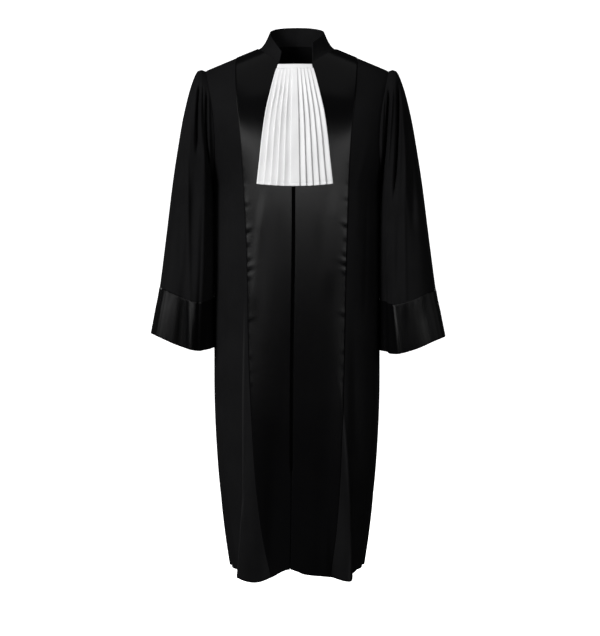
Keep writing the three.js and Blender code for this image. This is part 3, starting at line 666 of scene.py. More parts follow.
# The gabardine's lightest tone is a highlight painted along three fold ridges.
gabardine = woven_material(
    "black_gabardine",
    {"Ribs Per Metre": 850.0, "Lean": 1.0},
    {
        "Colour": grey(0.0050, 0.0003), "Pressed Colour": grey(0.0078, 0.0004),
        "Painted Highlight Colour": grey(0.016, 0.0005), "Roughness": 0.82, "Fibre Amount": 0.3,
    },
    specular=0.10, bump=0.35, painted_highlight=True,
)
satin = woven_material(
    "black_satin",
    {"Ribs Per Metre": 1600.0, "Lean": 0.2},
    {
        "Colour": grey(0.0017, 0.0002), "Pressed Colour": grey(0.0024, 0.0002),
        "Roughness": 0.205, "Roughness Change": 0.02, "Fibre Amount": 0.1, "Patch Size": 5.0,
    },
    specular=0.38, bump=0.03,
)
cotton = woven_material(
    "pleated_cotton",
    {"Ribs Per Metre": 1300.0, "Lean": 0.0},
    {
        "Colour": grey(0.72, 0.005), "Pressed Colour": grey(0.78, 0.005),
        "Roughness": 0.78, "Patch Size": 14.0,
    },
    specular=0.3, bump=0.2,
)
print("materials:", [m.name for m in (gabardine, satin, cotton)])

# %% [markdown]
# ## Laying out the front panels
# Each front runs from the closing to the side seam and armhole, and from the hem to the shoulder. Its
# columns are spaced along the cloth, and one of them follows the outer edge of the satin band, so the
# band can be cut from the same grid. Near the top the columns swing over to meet the neckline and
# the shoulder seam.

# %% Front lines and column layout
FRONT_LINES = table(
    "z closing right left",
    (-1310, -17, 61, 81),
    (-1225, -15.5, 78, 90),
    (-1125, -14, 90, 97),
    (-1000, -13.5, 100, 104),
    (-750, -12, 115, 115),
    (-500, -8.5, 123, 122),
    (-225, -8, 138, 132),
    (-125, -7, 147, 141),
    (-20, -6, 152, 150),
)
CLOTH, SATIN, STAND = 1.1, 0.7, 2.0  # thickness
ON_CLOTH = 1.35  # a satin layer's middle lies this far from the cloth's middle
SLIT, CLOSED, TURN = 3.7, 0.3, 1.7  # half the slit, half the gap below it, room for the satin's turn
SLIT_END_Z = -1040
NECK_COLUMNS, BAND_COLUMNS, FRONT_COLUMNS = 3, 6, 15


def front_edge(side, z):
    """x of a front's closing edge: beside the slit, along the neckline above it, shut below it."""
    half = mix(SLIT, CLOSED, ease((SLIT_END_Z + 20 - z) / 40)) + TURN
    closed = half + SIDES[side] * read(FRONT_LINES, "z", "closing", z)
    opened = np.clip((z - NECK_END_Z + NECK_VEE) / NECK_VEE, 0, 1)
    return mix(closed, NECK_END[side], opened**1.15)


def front_top_x(side, column):
    band = read(FRONT_LINES, "z", side, SHOULDER_Z / 2)
    neck = mix(NECK_END[side], NECK_X, column / NECK_COLUMNS)
    seam = mix(NECK_X, band, (column - NECK_COLUMNS) / (BAND_COLUMNS - NECK_COLUMNS))
    outer = mix(band, SHOULDER_X, (column - BAND_COLUMNS) / (FRONT_COLUMNS - BAND_COLUMNS))
    return np.where(column <= NECK_COLUMNS, neck, np.where(column <= BAND_COLUMNS, seam, outer))


def front_top(side, x):
    """Top edge of a front at x: the neckline, then the shoulder seam."""
    t = np.clip((NECK_X - x) / (NECK_X - NECK_END[side]), 0, 1)
    return np.where(x >= NECK_X, ridge(x), NECK_END_Z * t**0.9)


def back_top(x):
    return np.where(x >= NECK_X, ridge(x), NECK_BACK_Z * (1 - np.minimum(x / NECK_X, 1) ** 2.2))


def front_x(side, column, z, climb):
    """x of a column at height z, swung over to the top edge as climb goes to 1."""
    band = read(FRONT_LINES, "z", side, z)
    top_x = front_top_x(side, column)
    inner = mix(mix(front_edge(side, z), band, column / BAND_COLUMNS), top_x, climb**3)
    edge, wide = panel_edge(z), spread("front", z)
    share = np.clip((column - BAND_COLUMNS) / (FRONT_COLUMNS - BAND_COLUMNS), 0, 1)
    round_x = section_x(mix(section_angle(band, wide), section_angle(edge, wide), share), wide)
    outer = mix(round_x, mix(band, edge, share), climb**3)
    return np.where(column <= BAND_COLUMNS, inner, np.where(share >= 1, edge, outer))


def hem_z(part, x):
    return read(HEM, "angle", "z", ring_angle(part, x, np.full_like(x, HEM_Z)))


def row_shares(below, above):
    """Heights of the rows: shares up to the underarm, then the climb to the top edge."""
    up = np.concatenate([np.linspace(0, 1, below, endpoint=False), np.ones(above + 1)])
    angle = np.linspace(np.pi, 0, above + 1)
    climb = np.concatenate([np.zeros(below), (1 + np.cos(angle)) / 2])
    return up[:, None], climb[:, None]


ROWS_BELOW, ROWS_ABOVE = 110, 46


def front_spots(side, columns, up, climb):
    """x and z of a front's grid, for any columns and rows."""
    sign, column = SIDES[side], columns[None, :]
    low = np.full((1, len(columns)), HEM_Z)
    hem = hem_z("front", sign * front_x(side, column, low, 0.0))
    top_x = front_top_x(side, column)
    z = mix(mix(hem, UNDERARM_Z, up), front_top(side, top_x), climb)
    x = front_x(side, column, z, climb)
    x[-1] = top_x
    return sign * x, z


front_columns = marks((0, BAND_COLUMNS, 31), (BAND_COLUMNS, FRONT_COLUMNS, 81))
front_rows = row_shares(ROWS_BELOW, ROWS_ABOVE)
spots = {side: front_spots(side, front_columns, *front_rows) for side in SIDES}
front_points = {side: body_point("front", *spots[side]) for side in SIDES}
print("front grid:", front_points["right"].shape)

# %% [markdown]
# ## Seams draw the cloth in
# Where two panels are sewn together the seam pulls them inwards a little, and that soft groove is how
# a seam shows on black cloth. The grid's points near a seamed edge are pushed in, less and less with
# the distance from it.

# %% Pull seams in
SEAM_DEPTH, SEAM_REACH = 1.1, 5.0
FAR = 99


def edge_distance(points, edge):
    """Distance of each grid point, along the grid, to its first or last column, its foot or its top."""
    if edge in ("foot", "top"):
        return edge_distance(points.transpose(1, 0, 2), "first" if edge == "foot" else "last").T
    steps = np.linalg.norm(np.diff(points, axis=1), axis=-1)
    if edge == "last":
        steps = steps[:, ::-1]
    far = np.concatenate([np.zeros((len(points), 1)), np.cumsum(steps, axis=1)], axis=1)
    return far[:, ::-1] if edge == "last" else far


def sewn(points, side_seams, on_shoulder, flip=False):
    """A panel drawn in along its side seams, and along its top edge where that is a shoulder seam."""
    seams = [edge_distance(points, edge) for edge in side_seams]
    seams.append(np.where(on_shoulder, edge_distance(points, "top"), FAR))
    depth = SEAM_DEPTH * np.exp(-((np.minimum.reduce(seams) / SEAM_REACH) ** 2))
    return points - grid_normals(points, flip=flip) * depth[..., None]


pieces = {}
for side in SIDES:
    flip = side == "right"
    x, z = spots[side]
    front = sewn(front_points[side], ["last"], front_columns[None, :] >= NECK_COLUMNS, flip)
    # The mask of the highlight painted along three fold ridges.
    mask = crease_height(PAINTED_HIGHLIGHT, ring_angle("front", x, z), z)
    pieces[f"front_{side}"] = wall(f"cloth_front_{side}", front, CLOTH, gabardine, flip=flip, painted_highlight=mask)

# %% [markdown]
# ## Satin bands
# A wide band of satin faces each front edge, from the hem to the shoulder seam. It is sewn down along
# its outer edge, and satin that is eased onto heavier cloth puckers there: short dents at right
# angles to the seam, uneven in spacing. They could be a bump texture, but in a raking light their
# outline shows, so they are in the mesh. At the closing the satin turns round the front's edge.

# %% Bands with puckers and a turned edge
PUCKERS = table(
    "z height length",
    (-306, 0.20, 8), (-352, 0.24, 8), (-391, 0.36, 12), (-412, 0.20, 7),
    (-455, 0.60, 14), (-489, 0.40, 10), (-525, 0.50, 11), (-548, 0.62, 16),
    (-571, 0.44, 11), (-621, 0.20, 7), (-672, 0.46, 14), (-711, 0.24, 8),
    (-762, 0.38, 9), (-797, 0.18, 10), (-828, 0.34, 9), (-948, 0.18, 8),
)


PUCKER_LOOK = {"right": (0, 0.82), "left": (13, 0.75)}  # mm higher up, and share of the height
TURN_IN = {"band": 9, "cuff": 22}  # how far the satin reaches round behind the cloth


def pucker_height(points, from_edge, offset, share):
    """Dents and small pillows along a band's sewn edge, where the satin dips to the stitches."""
    height = -1.0 * np.exp(-((from_edge / 1.6) ** 2))
    for at, rise, length in zip(*PUCKERS.values()):
        z = at + offset + from_edge * 0.35
        above = points[..., 2] - z
        pillow = np.exp(-((above / 8) ** 2)) - 0.8 * np.exp(-(((above + 11) / 5.5) ** 2))
        height += share * rise * pillow * np.exp(-((from_edge / length) ** 2)) * ease(from_edge / 3)
    return height


def turned_edge(edge, normal, out, degrees):
    """Strips of satin round the edge of the cloth. At 0 degrees it lies in front, at 180 behind."""
    turns = [(normal * np.cos(a) + out * np.sin(a)) * ON_CLOTH for a in np.radians(degrees)]
    return [edge + turn for turn in turns]


def band_grid(side):
    flip = side == "right"
    columns = marks((0, 4.6, 20), (4.6, BAND_COLUMNS, 22))
    points = body_point("front", *front_spots(side, columns, *row_shares(220, 60)))
    normals = grid_normals(points, flip=flip)
    lift = ON_CLOTH + pucker_height(points, edge_distance(points, "last"), *PUCKER_LOOK[side])
    face = points + normals * lift[..., None]
    edge, normal = points[:, :1], normals[:, :1]
    out = unit(points[:, :1] - points[:, 1:2])
    inside = edge - normal * ON_CLOTH - out * TURN_IN["band"]
    turned = turned_edge(edge, normal, out, [180, 150, 120, 90, 60, 30])
    return np.concatenate([inside] + turned + [face], axis=1)


for side in SIDES:
    pieces[f"band_{side}"] = wall(f"satin_band_{side}", band_grid(side), SATIN, satin, flip=side == "right")

# %% [markdown]
# ## Underlap
# Behind the closing lies a strip of the robe's own cloth. It hides the fasteners and is why the slit
# between the two satin edges looks black. It is a plain strip on the same form, just behind.

# %% Underlap strip
def underlap_grid():
    share, across = np.linspace(0, 1, 80)[:, None], np.linspace(-24, 24, 13)[None, :]
    hem = hem_z("front", across + read(FRONT_LINES, "z", "closing", HEM_Z)) + 2
    z = mix(hem, ARMHOLE_Z - 8, share)
    return body_point("front", read(FRONT_LINES, "z", "closing", z) + across, z)


pieces["underlap"] = wall("underlap_strip", underlap_grid(), CLOTH, gabardine, shift=-8.0)

# %% [markdown]
# ## Back
# The back is one panel between the side seams, armholes and shoulder seams, with the neck scooped out
# of its top edge. The photograph doesn't show it, so it gets what such robes have: five deep folds
# that fall from between the shoulders, and creases like those in front.

# %% Back panel
BACK_NECK_COLUMNS, BACK_COLUMNS = 5, 14


def back_grid(count):
    step = np.linspace(-BACK_COLUMNS, BACK_COLUMNS, count)[None, :]
    column, sign = np.abs(step), np.where(step < 0, 1, -1)
    up, climb = row_shares(ROWS_BELOW, ROWS_ABOVE)

    def column_x(z, climb):
        edge, wide = panel_edge(z), spread("back", z)
        round_x = section_x(section_angle(edge, wide) * column / BACK_COLUMNS, wide)
        return np.where(column >= BACK_COLUMNS, edge, mix(round_x, top_x, climb**3))

    neck = NECK_X * column / BACK_NECK_COLUMNS
    seam = mix(NECK_X, SHOULDER_X, (column - BACK_NECK_COLUMNS) / (BACK_COLUMNS - BACK_NECK_COLUMNS))
    top_x = np.where(column <= BACK_NECK_COLUMNS, neck, seam)
    hem = hem_z("back", sign * column_x(np.full_like(column, HEM_Z), 0.0))
    z = mix(mix(hem, UNDERARM_Z, up), back_top(top_x), climb)
    x = column_x(z, climb)
    x[-1] = top_x
    return sewn(body_point("back", sign * x, z), ["first", "last"], column >= BACK_NECK_COLUMNS)


pieces["back"] = wall("cloth_back", back_grid(169), CLOTH, gabardine)

# %% [markdown]
# ## Sleeves
# A sleeve starts on the armhole's own points and turns through rings until it hangs beside the body.
# A loft over curves would do it too, but rings from a table keep the outline that was measured. The
# columns are smooth curves through the rings. At the head the cloth is gathered. The gathers hang
# straight down, close to the armhole seam, so their lines are easiest to give as seen from the front.
# Lower down the sleeve falls in a few long tubes. A gather may not be deeper than about half of the
# sleeve's own depth there, or front and back would meet.

# %% Sleeve rings and folds
SLEEVE = table(
    "ring outer_x outer_z inner_x inner_z depth drop",
    (1, 238, -51, 208.4, -347, 86, 0),
    (2, 249, -56, 208, -353, 88, 0),
    (3, 260, -80, 207, -364, 90, 1),
    (4, 271, -116, 205, -381, 91, 2),
    (5, 284, -172, 204, -408, 92, 3),
    (6, 296, -242, 203, -446, 93, 5),
    (7, 310, -336, 202, -497, 94, 8),
    (8, 325, -460, 201, -556, 95, 12),
    (9, 342, -594, 202, -617, 96, 17),
    (10, 352.5, -650.5, 201.5, -677, 96.5, 17),
    (11, 363, -707, 201, -737, 97, 17),
)
LAST_RING, CUFF_RING = 11, 9
SLEEVE_COLUMNS = 241
DEEPEST = 0.55  # deepest gather, as a share of the depth
CUFF_END_Z = -750  # a crease that ends below this runs out over the cuff's end
WIDER, LOWER = {"right": 0, "left": 7}, {"right": 0, "left": 9}  # the left cuff is larger and hangs lower
SIDE_CLEAR = {"underarm": 1.4, "below": 4.4}
SLEEVE_FOLDS = {
    "right": table(
        "angle width height",
        (52, 24, 5), (88, 13, -7), (106, 11, 8), (132, 16, -5),
        (228, 18, -8), (258, 15, 8), (290, 16, -7),
    ),
    "left": table(
        "angle width height",
        (40, 30, 4), (114, 12, 4), (143, 14, -9),
        (225, 16, -7), (252, 15, 8), (284, 17, -7),
    ),
}
# A sleeve crease is a line as seen from the front (face -1) or from behind (face 1): x at its upper and
# lower end, bowed in the middle. Heights above 0 are ridges, below 0 troughs.
CREASE_COLUMNS = "face x to top bottom width height bow"
SLEEVE_CREASES = {
    "right": table(
        CREASE_COLUMNS,
        (-1, 240, 244, -84, -285, 4.6, -15.0, 2), (-1, 222, 213, -104, -355, 3.4, -14.0, 4),
        (-1, 232, 228, -92, -215, 2.2, -4.5, 0), (-1, 217, 212, -108, -320, 2.8, 5.0, 0),
        (-1, 240, 229, -100, -280, 3.4, 3.0, 1), (-1, 257, 262, -78, -330, 5.0, 4.0, 2),
        (-1, 268, 260, -210, -800, 4.5, 4.8, 0), (-1, 252, 247, -300, -800, 7.0, -2.5, 0),
        (-1, 285, 283, -330, -800, 9.0, -2.5, 0), (-1, 272, 288, -120, -420, 6.0, -2.2, 3),
        (-1, 222, 229, -200, -740, 9.0, 12.0, 0),
        (1, 243, 250, -84, -300, 5.0, -7.0, 4), (1, 233, 216, -98, -350, 3.8, -7.0, 2),
        (1, 222, 219, -116, -240, 2.6, -4.0, 0), (1, 238, 230, -96, -280, 3.4, 3.5, 1),
        (1, 256, 268, -78, -360, 5.0, 4.5, 2), (1, 268, 262, -260, -800, 6.0, 5.0, 3),
        (1, 248, 244, -330, -800, 8.0, -4.0, 0), (1, 290, 296, -300, -800, 8.0, -3.5, 2),
    ),
    "left": table(
        CREASE_COLUMNS,
        (-1, 227, 201, -92, -440, 3.8, -20.0, 2), (-1, 249, 236, -80, -400, 3.6, -18.0, 3),
        (-1, 213, 205, -108, -290, 2.6, 3.5, 0), (-1, 236, 218, -94, -360, 3.0, 5.0, 0),
        (-1, 254, 262, -80, -420, 5.0, 5.5, 7), (-1, 264, 285, -140, -480, 7.0, -8.0, 5),
        (-1, 218, 210, -120, -260, 2.4, -3.5, 0), (-1, 262, 266, -380, -700, 4.0, 2.5, 0),
        (-1, 250, 242, -400, -640, 6.0, -2.0, 0), (-1, 300, 306, -380, -680, 12.0, 2.0, 0),
        (-1, 230, 252, -590, -800, 3.0, 5.0, 0),
        (1, 230, 210, -92, -400, 4.0, -7.0, 2), (1, 242, 240, -80, -370, 4.6, -7.0, 6),
        (1, 219, 212, -112, -280, 2.8, -4.0, 0), (1, 235, 222, -92, -320, 3.0, 4.0, 0),
        (1, 256, 264, -80, -420, 5.0, 5.0, 6), (1, 264, 270, -300, -800, 6.0, 4.5, 2),
        (1, 250, 248, -380, -800, 7.0, -4.0, 0), (1, 292, 300, -340, -800, 8.0, -3.5, 3),
    ),
}


def hanging_creases(creases, point):
    """How far a sleeve's creases move its plain form towards the front or the back."""
    x, y, z = np.moveaxis(point, -1, 0)
    height = np.zeros(x.shape)
    for face, at, to, top, bottom, width, rise, bow in zip(*creases.values()):
        t = (top - z) / (top - bottom)
        line = mix(at, to, t) + bow * np.sin(np.pi * np.clip(t, 0, 1))
        across = np.exp(-(((x - line) / (width * mix(0.8, 1.25, np.clip(t, 0, 1)))) ** 2))
        ends = ease(t / 0.18) * (ease((1 - t) / 0.3) if bottom > CUFF_END_Z else 1)
        height += rise * across * ends * ease(y * face / 22)
    return np.maximum(height, -DEEPEST * np.abs(y)) * np.sign(y)


print("creases a sleeve:", len(SLEEVE_CREASES["left"]["x"]))

# %% [markdown]
# ## A ring of the sleeve
# Each ring is a rounded oblong between its outer and inner point. The ring's angle is 0 outside, 90
# in front, 180 against the body and 270 behind. Where the sleeve hangs beside the body it is pushed
# clear of it, so the two layers never touch.

# %% Sleeve points
def beside_body(y, z):
    """x that keeps a sleeve clear of the body's side."""
    depth = np.where(y < 0, read(BODY, "z", "front", z), read(BODY, "z", "back", z))
    clear = mix(SIDE_CLEAR["underarm"], SIDE_CLEAR["below"], ease((UNDERARM_Z - z) / 50))
    return read(BODY, "z", "side", z) * section(y / depth) + clear


def plain_sleeve(side, angle, ring):
    """Middle of the sleeve's cloth without creases, for rings from 1, on the wearer's left."""
    size = {key: read(SLEEVE, "ring", key, ring) for key in SLEEVE if key != "ring"}
    share = ring / (LAST_RING + 1)
    around = np.radians(angle)
    power = lambda v: np.sign(v) * np.abs(v) ** mix(1, 0.88, share)
    outward, forward = power(np.cos(around)), power(np.sin(around))
    middle_x, reach_x = (size["outer_x"] + size["inner_x"]) / 2, (size["outer_x"] - size["inner_x"]) / 2
    middle_z, reach_z = (size["outer_z"] + size["inner_z"]) / 2, (size["outer_z"] - size["inner_z"]) / 2
    lift = np.zeros(np.broadcast(angle, ring).shape)
    for at, width, height in zip(*SLEEVE_FOLDS[side].values()):
        lift += height * ease(share * 1.25 - 0.2) * hump(np.abs(turn(angle - at)) / width)
    tilt = np.clip(reach_z / np.hypot(reach_x, reach_z), 0, 1)
    out_x, out_y = np.cos(around), -np.sin(around)
    normal = unit(np.stack([out_x * (1 - tilt), out_y + 0 * ring, out_x * tilt], -1))
    drop = size["drop"] * np.sin(around) ** 2 * (1 - np.cos(around)) + LOWER[side] * share**2
    x = middle_x + reach_x * outward + WIDER[side] * (1 + outward) * share**2 / 2
    z = middle_z + reach_z * outward - drop
    return np.stack([x, -size["depth"] * forward, z], -1) + normal * lift[..., None]


def armhole_point(angle):
    """The panels' edge at an angle of the armhole: 0 at the shoulder, 90 in front, 180 underarm."""
    z = ARMHOLE_Z + ARMHOLE_HALF * np.cos(np.radians(angle))
    x = panel_edge(z)
    in_front = np.sin(np.radians(angle)) >= 0
    return np.where(in_front[..., None], body_point("front", x, z), body_point("back", x, z))


def sleeve_grid(side, rings):
    """Columns are smooth curves that leave the armhole and pass through the rings."""
    angle = np.linspace(0, 360, SLEEVE_COLUMNS)[None, :]
    points = plain_sleeve(side, angle, np.maximum(rings, 1.0)[:, None])
    start = np.clip(rings, 0, 1)[:, None]
    points = mix(armhole_point(angle), points, start[..., None])
    points[..., 1] += hanging_creases(SLEEVE_CREASES[side], points) * ease(start * 3)
    clear = np.maximum(points[..., 0], beside_body(points[..., 1], points[..., 2]))
    low = (points[..., 2] < UNDERARM_Z) & (start >= 1)
    points[..., 0] = np.where(low, clear, points[..., 0]) * SIDES[side]
    return points


sleeve_rings = marks((0, 1, 12), (1, 4, 30), (4, LAST_RING, 70))
for side in SIDES:
    points, name = sleeve_grid(side, sleeve_rings), f"cloth_sleeve_{side}"
    pieces[f"sleeve_{side}"] = wall(name, points, CLOTH, gabardine, closed=True, flip=side == "right")

# %% [markdown]
# ## Cuffs
# The lowest part of each sleeve is faced with satin as deep as a hand is long. It lies on the sleeve,
# so it is made from the sleeve's own points, moved out. A narrow hem turns it over the sleeve's end.

# %% Satin cuffs
CUFF_RINGS = 44
PINCH, PINCHES = 0.2, 31  # height and number of the small dents along the cuff's top seam


def cuff_grid(side):
    points = sleeve_grid(side, np.linspace(CUFF_RING, LAST_RING, CUFF_RINGS))
    normals = grid_normals(points, closed=True, flip=side == "right")
    down = np.linalg.norm(points - points[:1], axis=-1)
    angle = np.linspace(0, 360, SLEEVE_COLUMNS)[None, :]
    pinch = PINCH * np.sin(np.radians(angle * PINCHES + 40 * np.sin(np.radians(angle * 3))))
    lift = ON_CLOTH + pinch * np.exp(-((down / 9) ** 2)) * ease(down / 3)
    face = points + normals * lift[..., None]
    end, normal = points[-1:], normals[-1:]
    out = unit(points[-1:] - points[-2:-1])
    turned = turned_edge(end, normal, out, [30, 60, 90, 120, 150, 180])
    inside = end - normal * ON_CLOTH - out * TURN_IN["cuff"]
    return np.concatenate([face] + turned + [inside], axis=0)


for side in SIDES:
    points, name = cuff_grid(side), f"satin_cuff_{side}"
    pieces[f"cuff_{side}"] = wall(name, points, SATIN, satin, closed=True, flip=side == "right")

# %% [markdown]
# ## Stand collar
# The collar stands up from the neckline and leans inwards. It is stiffened, so it has no folds, only
# a slight dent where the stiffening ends. Its two front ends are cut off square and stay apart, with
# the wearer's left end a little higher. It grows from the same neckline as the panels.

# %% Collar
COLLAR_TOP = table(
    "share x y right left",
    (0, 0, 41, 62, 62),
    (0.2, 31, 36, 60, 60),
    (0.4, 57, 18, 53, 53),
    (0.56, 67, -8, 41, 43),
    (0.78, 59, -48, 17, 26),
    (1, 38, -80, -17, 5),
)

COLLAR_HOLLOW = 0.55  # below 1 the collar flares out at its foot


def neckline(side, count):
    """The panels' top edge from the middle of the back (share 0) to the front end (share 1)."""
    back_x = np.linspace(0, NECK_X, count)
    front_x_values = np.linspace(NECK_X, NECK_END[side], count)[1:]
    behind = body_point("back", back_x, back_top(back_x))
    before = body_point("front", front_x_values, front_top(side, front_x_values))
    points = np.concatenate([behind, before])
    steps = np.linalg.norm(np.diff(points, axis=0), axis=-1)
    share = np.concatenate([[0], np.cumsum(steps)]) / steps.sum()
    even = np.linspace(0, 1, 2 * count)
    return even, np.stack([np.interp(even, share, points[:, k]) for k in range(3)], -1)


def collar_grid(levels=26, count=34):
    halves = {}
    level = np.linspace(0, 1, levels)[:, None, None]
    for side, sign in SIDES.items():
        share, base = neckline(side, count)
        top = np.stack([read(COLLAR_TOP, "share", key, share) for key in ("x", "y", side)], -1)
        x_and_y = mix(base[:, :2], top[:, :2], level**COLLAR_HOLLOW) * (sign, 1)
        height = mix(base[:, 2:], top[:, 2:], level)
        halves[side] = np.concatenate([x_and_y, height], -1)
    return np.concatenate([halves["right"][:, ::-1], halves["left"][:, 1:]], axis=1)


STIFFENED_TO = 5  # the stiffening ends this far from the collar's edges


def dent(distance, depth, width):
    return -depth * np.exp(-((distance / width) ** 2))


def collar_relief(points):
    """The neck seam, and a faint line where the stiffening ends."""
    ends = np.minimum(edge_distance(points, "first"), edge_distance(points, "last"))
    height = dent(edge_distance(points, "foot"), 0.9, 3.5)
    for distance in (edge_distance(points, "top"), ends):
        height += dent(distance - STIFFENED_TO, 0.35, 1.2)
    return points + grid_normals(points, flip=True) * height[..., None]


pieces["collar"] = wall("stand_collar", collar_relief(collar_grid()), STAND, gabardine, flip=True)

# %% [markdown]
# ## Pleated bib
# The white bib is one strip of cotton, knife-pleated from a flat middle outwards and sewn to a narrow
# band. A pleat is three layers of cloth: the strip that shows, a turn under its edge, and a turn back
# out. The strip is followed as one path through all its layers, which gives each fold its own shadow.
# Bump or a saw-tooth surface would be lighter, but would not cast one. The pleats are pressed flat at
# the band and open a little towards the hem.

# %% Pleat path
BIB_WIDTH = table(
    "down half",
    (0, 42), (30, 50.5), (70, 60), (120, 71), (180, 79.5), (240, 85.5), (290, 91),
)
BIB = {"middle": -5, "top": -62, "length": 283, "sag": 6, "pleats": 5, "flat": 0.13}
BAND_HALF, BAND_HEIGHT = 43, 10
COTTON, NECK_BAND = 0.45, 1.4  # thickness
BIB_BASE = 2.75  # the bib's lowest layer lies this far out from the front cloth's middle


def pleat_path():
    """One half of the bib from its middle: place as a share, sideways shift in mm, and height."""
    path = [(0, 0, 1.0), (BIB["flat"] * 0.5, 0, 1.0)]
    wide = (1 - BIB["flat"]) / BIB["pleats"]
    for k in range(BIB["pleats"]):
        edge = BIB["flat"] + wide * k
        path += [(edge, -2.0, 1.0), (edge, -0.5, 0.98), (edge, 0, 0.86), (edge, -0.5, 0.72)]
        path += [(edge, -4.5, 0.62), (edge, -5.2, 0.52), (edge, -4.6, 0.42), (edge, 1.5, 0.28)]
        path += [(edge + wide * 0.35, 0, 0.34), (edge + wide * 0.7, 0, 0.7)]
    path += [(1, -1.5, 0.98), (1, 0, 0.9)]
    return np.array(path, float)


def on_chest(x, z, out):
    """A point that lies out millimetres in front of the front cloth."""
    step = 0.5
    here = body_point("front", x, z)
    across, up = body_point("front", x + step, z) - here, body_point("front", x, z + step) - here
    return here + unit(np.cross(across, up)) * out[..., None]


def bib_grid(rows=70):
    half_path = pleat_path()
    left = half_path[:0:-1] * np.array([-1, -1, 1])
    place, shift, level = np.concatenate([left, half_path]).T[:, None, :]
    near_hem = BIB["length"] - np.array([0, 1.5, 3, 4.5, 5.5, 6.5, 7.5, 8.5, 9.5])
    down = np.concatenate([near_hem, np.linspace(BIB["length"] - 12, 0, rows)])[:, None]
    half = read(BIB_WIDTH, "down", "half", down + BAND_HEIGHT)
    opened = mix(0.25, 1.0, ease(down / 60))
    x = BIB["middle"] + place * half + shift * opened
    z = BIB["top"] - down - BIB["sag"] * (1 - place**2) * (down / BIB["length"]) ** 2
    ripple = 0.35 * np.sin(down / 21 + place * 9) * ease(down / 120)
    hem = -0.7 * np.exp(-(((BIB["length"] - down - 6.5) / 1.2) ** 2))
    height = mix(1.1, 4.2, ease(down / 90)) * level + ripple + hem
    return on_chest(x, z, BIB_BASE + height)


pieces["jabot"] = wall("pleated_bib", bib_grid(), COTTON, cotton)


def bib_band_grid():
    z = np.linspace(BIB["top"] + 0.3, BIB["top"] + 0.3 + BAND_HEIGHT, 10)[:, None]
    share = np.linspace(-1, 1, 41)[None, :]
    rise = (z - BIB["top"]) / BAND_HEIGHT
    x = BIB["middle"] + share * (BAND_HALF - 2 * rise)
    pillow = 0.5 * np.sin(np.pi * np.clip(rise, 0, 1)) + 0 * x
    return on_chest(x, z + 0 * x, BIB_BASE + 0.6 + pillow)


pieces["jabot_band"] = wall("bib_neck_band", bib_band_grid(), NECK_BAND, cotton)

# %% [markdown]
# ## Joining the pieces to the frame
# Every piece stands for the solid of the same name, which is hidden. It rides on the robe's one body.
# The record's material slot for each kind of piece is listed. Each is also a sheet of cloth, so its
# size before sewing is printed as the piece is made: the width and length of the rectangle that holds
# its cut, and the area of the cut itself.

# %% Ride and replace
SLOTS = {black: "robe_cloth" for black in ("front", "back", "underlap", "collar", "sleeve")}
SLOTS |= {"band": "satin", "cuff": "satin", "jabot": "white_cotton"}

for node, piece in pieces.items():
    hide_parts(node)
    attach(piece, "root")
print("pieces:", len(pieces))

# %% [markdown]
# ## Floor and light
# Black cloth is lit by what it reflects. If the whole studio were bright, satin and gabardine would
# both turn grey, so the light comes from a few soft boxes in a dim room. The room is only shown as
# white to the camera itself, and the floor rises into a glowing backdrop. The shine across the chest
# is an arc of low, wide boxes that the satin mirrors. The height of a box decides how far down the
# shine reaches, and how fast it fades comes from the satin's roughness. Two boxes higher up do the
# same for the cuffs. A photographer would stand black cards at the sides so that the white backdrop
# doesn't glare on the outline. Here the backdrop and the boxes at the sides and behind, which only
# bring out the folds of the matt cloth, are left out of reflections.

# %% Studio
FLOOR_Z, BEND_Y, BEND, HALF_WIDTH = -2.2, 4.0, 2.0, 12.0


def make_ground():
    """A floor that rises into a backdrop through a wide bend."""
    turns = np.linspace(0, np.pi / 2, 14)
    bend = [(BEND_Y + BEND * np.sin(a), FLOOR_Z + BEND * (1 - np.cos(a))) for a in turns]
    profile = [(-9, FLOOR_Z), *bend, (BEND_Y + BEND, 6)]
    verts = [(x, y, z) for x in (-HALF_WIDTH, HALF_WIDTH) for y, z in profile]
    n = len(profile)
    mesh = bpy.data.meshes.new("studio_ground")
    mesh.from_pydata(verts, [], [(k, k + 1, n + k + 1, n + k) for k in range(n - 1)])
    for polygon in mesh.polygons:
        polygon.use_smooth = True
    ground = bpy.data.objects.new("studio_ground", mesh)
    bpy.context.scene.collection.objects.link(ground)
    mesh.materials.append(glowing_paper())
    ground.visible_glossy = ground.visible_diffuse = False


def glowing_paper():
    """Pale paper that glows a little, and fully behind the robe."""
    paper = bpy.data.materials.new("pale_paper")
    paper.use_nodes = True
    tree = paper.node_tree
    shader = tree.nodes["Principled BSDF"]
    shader.inputs["Base Color"].default_value = (0.85, 0.85, 0.85, 1)
    shader.inputs["Roughness"].default_value = 0.9
    shader.inputs["Specular IOR Level"].default_value = 0.1
    place = tree.nodes.new("ShaderNodeSeparateXYZ")
    link(tree, tree.nodes.new("ShaderNodeNewGeometry").outputs["Position"], place.inputs[0])
    glow = remap(tree, place.outputs["Y"], 0.0, 3.5, 0.6, 1.0)
    link(tree, glow, shader.inputs["Emission Color"])
    shader.inputs["Emission Strength"].default_value = 1.0
    return paper


def soft_box(name, place, target, size, power, glossy=True):
    lamp = bpy.data.lights.new(name, "AREA")
    lamp.shape, lamp.size, lamp.size_y, lamp.energy = "RECTANGLE", size[0], size[1], power
    box = bpy.data.objects.new(name, lamp)
    box.location = place
    box.visible_glossy = glossy
    box.visible_camera = False
    x, y, z = np.array(target) - np.array(place)
    box.rotation_euler = (np.arctan2(np.hypot(x, y), -z), 0, np.arctan2(y, x) - np.pi / 2)
    bpy.context.scene.collection.objects.link(box)


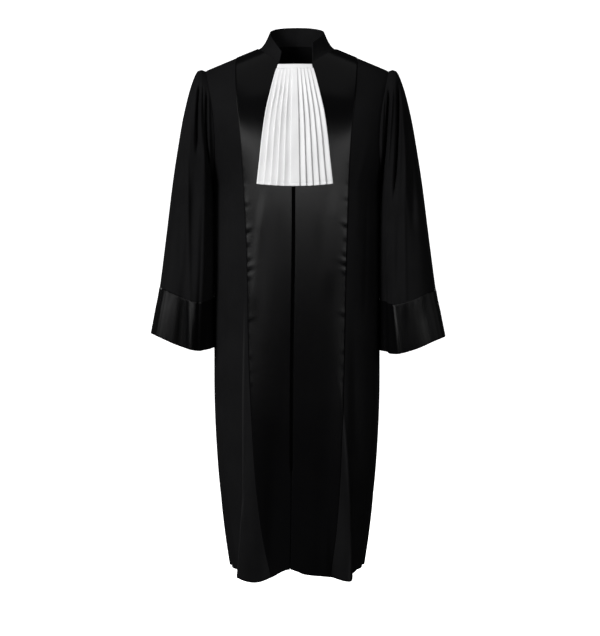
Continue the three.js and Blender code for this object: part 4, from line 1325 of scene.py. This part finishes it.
def make_room(light, seen):
    """A dim room that looks white to the camera."""
    world = bpy.data.worlds.new("dim_room")
    world.use_nodes = True
    tree = world.node_tree
    dim, white = tree.nodes["Background"], tree.nodes.new("ShaderNodeBackground")
    choose, ray = tree.nodes.new("ShaderNodeMixShader"), tree.nodes.new("ShaderNodeLightPath")
    dim.inputs["Strength"].default_value, white.inputs["Strength"].default_value = light, seen
    white.inputs["Color"].default_value = dim.inputs["Color"].default_value = (1, 1, 1, 1)
    link(tree, ray.outputs["Is Camera Ray"], choose.inputs[0])
    link(tree, dim.outputs[0], choose.inputs[1])
    link(tree, white.outputs[0], choose.inputs[2])
    link(tree, choose.outputs[0], tree.nodes["World Output"].inputs["Surface"])
    bpy.context.scene.world = world


def round_robe(azimuth, height):
    """A place for a mirrored lamp. Azimuth 0 is in front, minus on the viewer's left."""
    return (LAMPS_AWAY * np.sin(np.radians(azimuth)), -LAMPS_AWAY * np.cos(np.radians(azimuth)), height)


LAMPS_AWAY = 4.6
SHEEN_ROW = table(  # a broken row of low lamps round the robe
    "azimuth z power",
    (-99, 0.21, 2.2),
    (-66, 0.21, 5.2),
    (-33, 0.21, 10.2),
    (0, 0.17, 8.8),
    (33, 0.09, 7.6),
    (66, 0.09, 1.2),
    (99, 0.09, 0.5),
    (165, 0.21, 4),
    (198, 0.21, 4),
)
CUFF_LIGHTS = table("azimuth power", (-78, 7), (66, 1.4))
CUFF_LIGHT_Z = 1.15
SIDE_LIGHTS = table(  # never mirrored
    "x y z size_x size_z power",
    (-3.2, -3.2, 1.0, 1.4, 1.8, 250),
    (3.2, -3.2, 0.8, 1.4, 1.8, 46),
    (2.0, 4.3, 1.0, 1.6, 1.6, 260),
    (-2.0, 4.3, 0.8, 1.6, 1.6, 110),
)
make_ground()
make_room(light=0.012, seen=1.0)
soft_box("overhead", (0, -1.4, 2.6), (0, -0.9, -0.2), (4.0, 4.5), 9)
for x, y, z, wide, high, power in zip(*SIDE_LIGHTS.values()):
    soft_box("side_light", (x, y, z), (0, 0, -0.5), (wide, high), power, glossy=False)
for azimuth, height, power in zip(*SHEEN_ROW.values()):
    soft_box("sheen_light", round_robe(azimuth, height), (0, 0, height - 0.4), (2.65, 0.5), power)
for azimuth, power in zip(*CUFF_LIGHTS.values()):
    soft_box("cuff_light", round_robe(azimuth, CUFF_LIGHT_Z), (0, 0, -0.6), (2.0, 0.9), power)
bpy.context.scene.view_settings.view_transform = "Standard"
print("mirrored lamps:", len(SHEEN_ROW["power"]) + len(CUFF_LIGHTS["power"]))

# %% [markdown]
# The dressed robe must stay as large as its solids.

# %% Finish
bpy.context.view_layer.update()
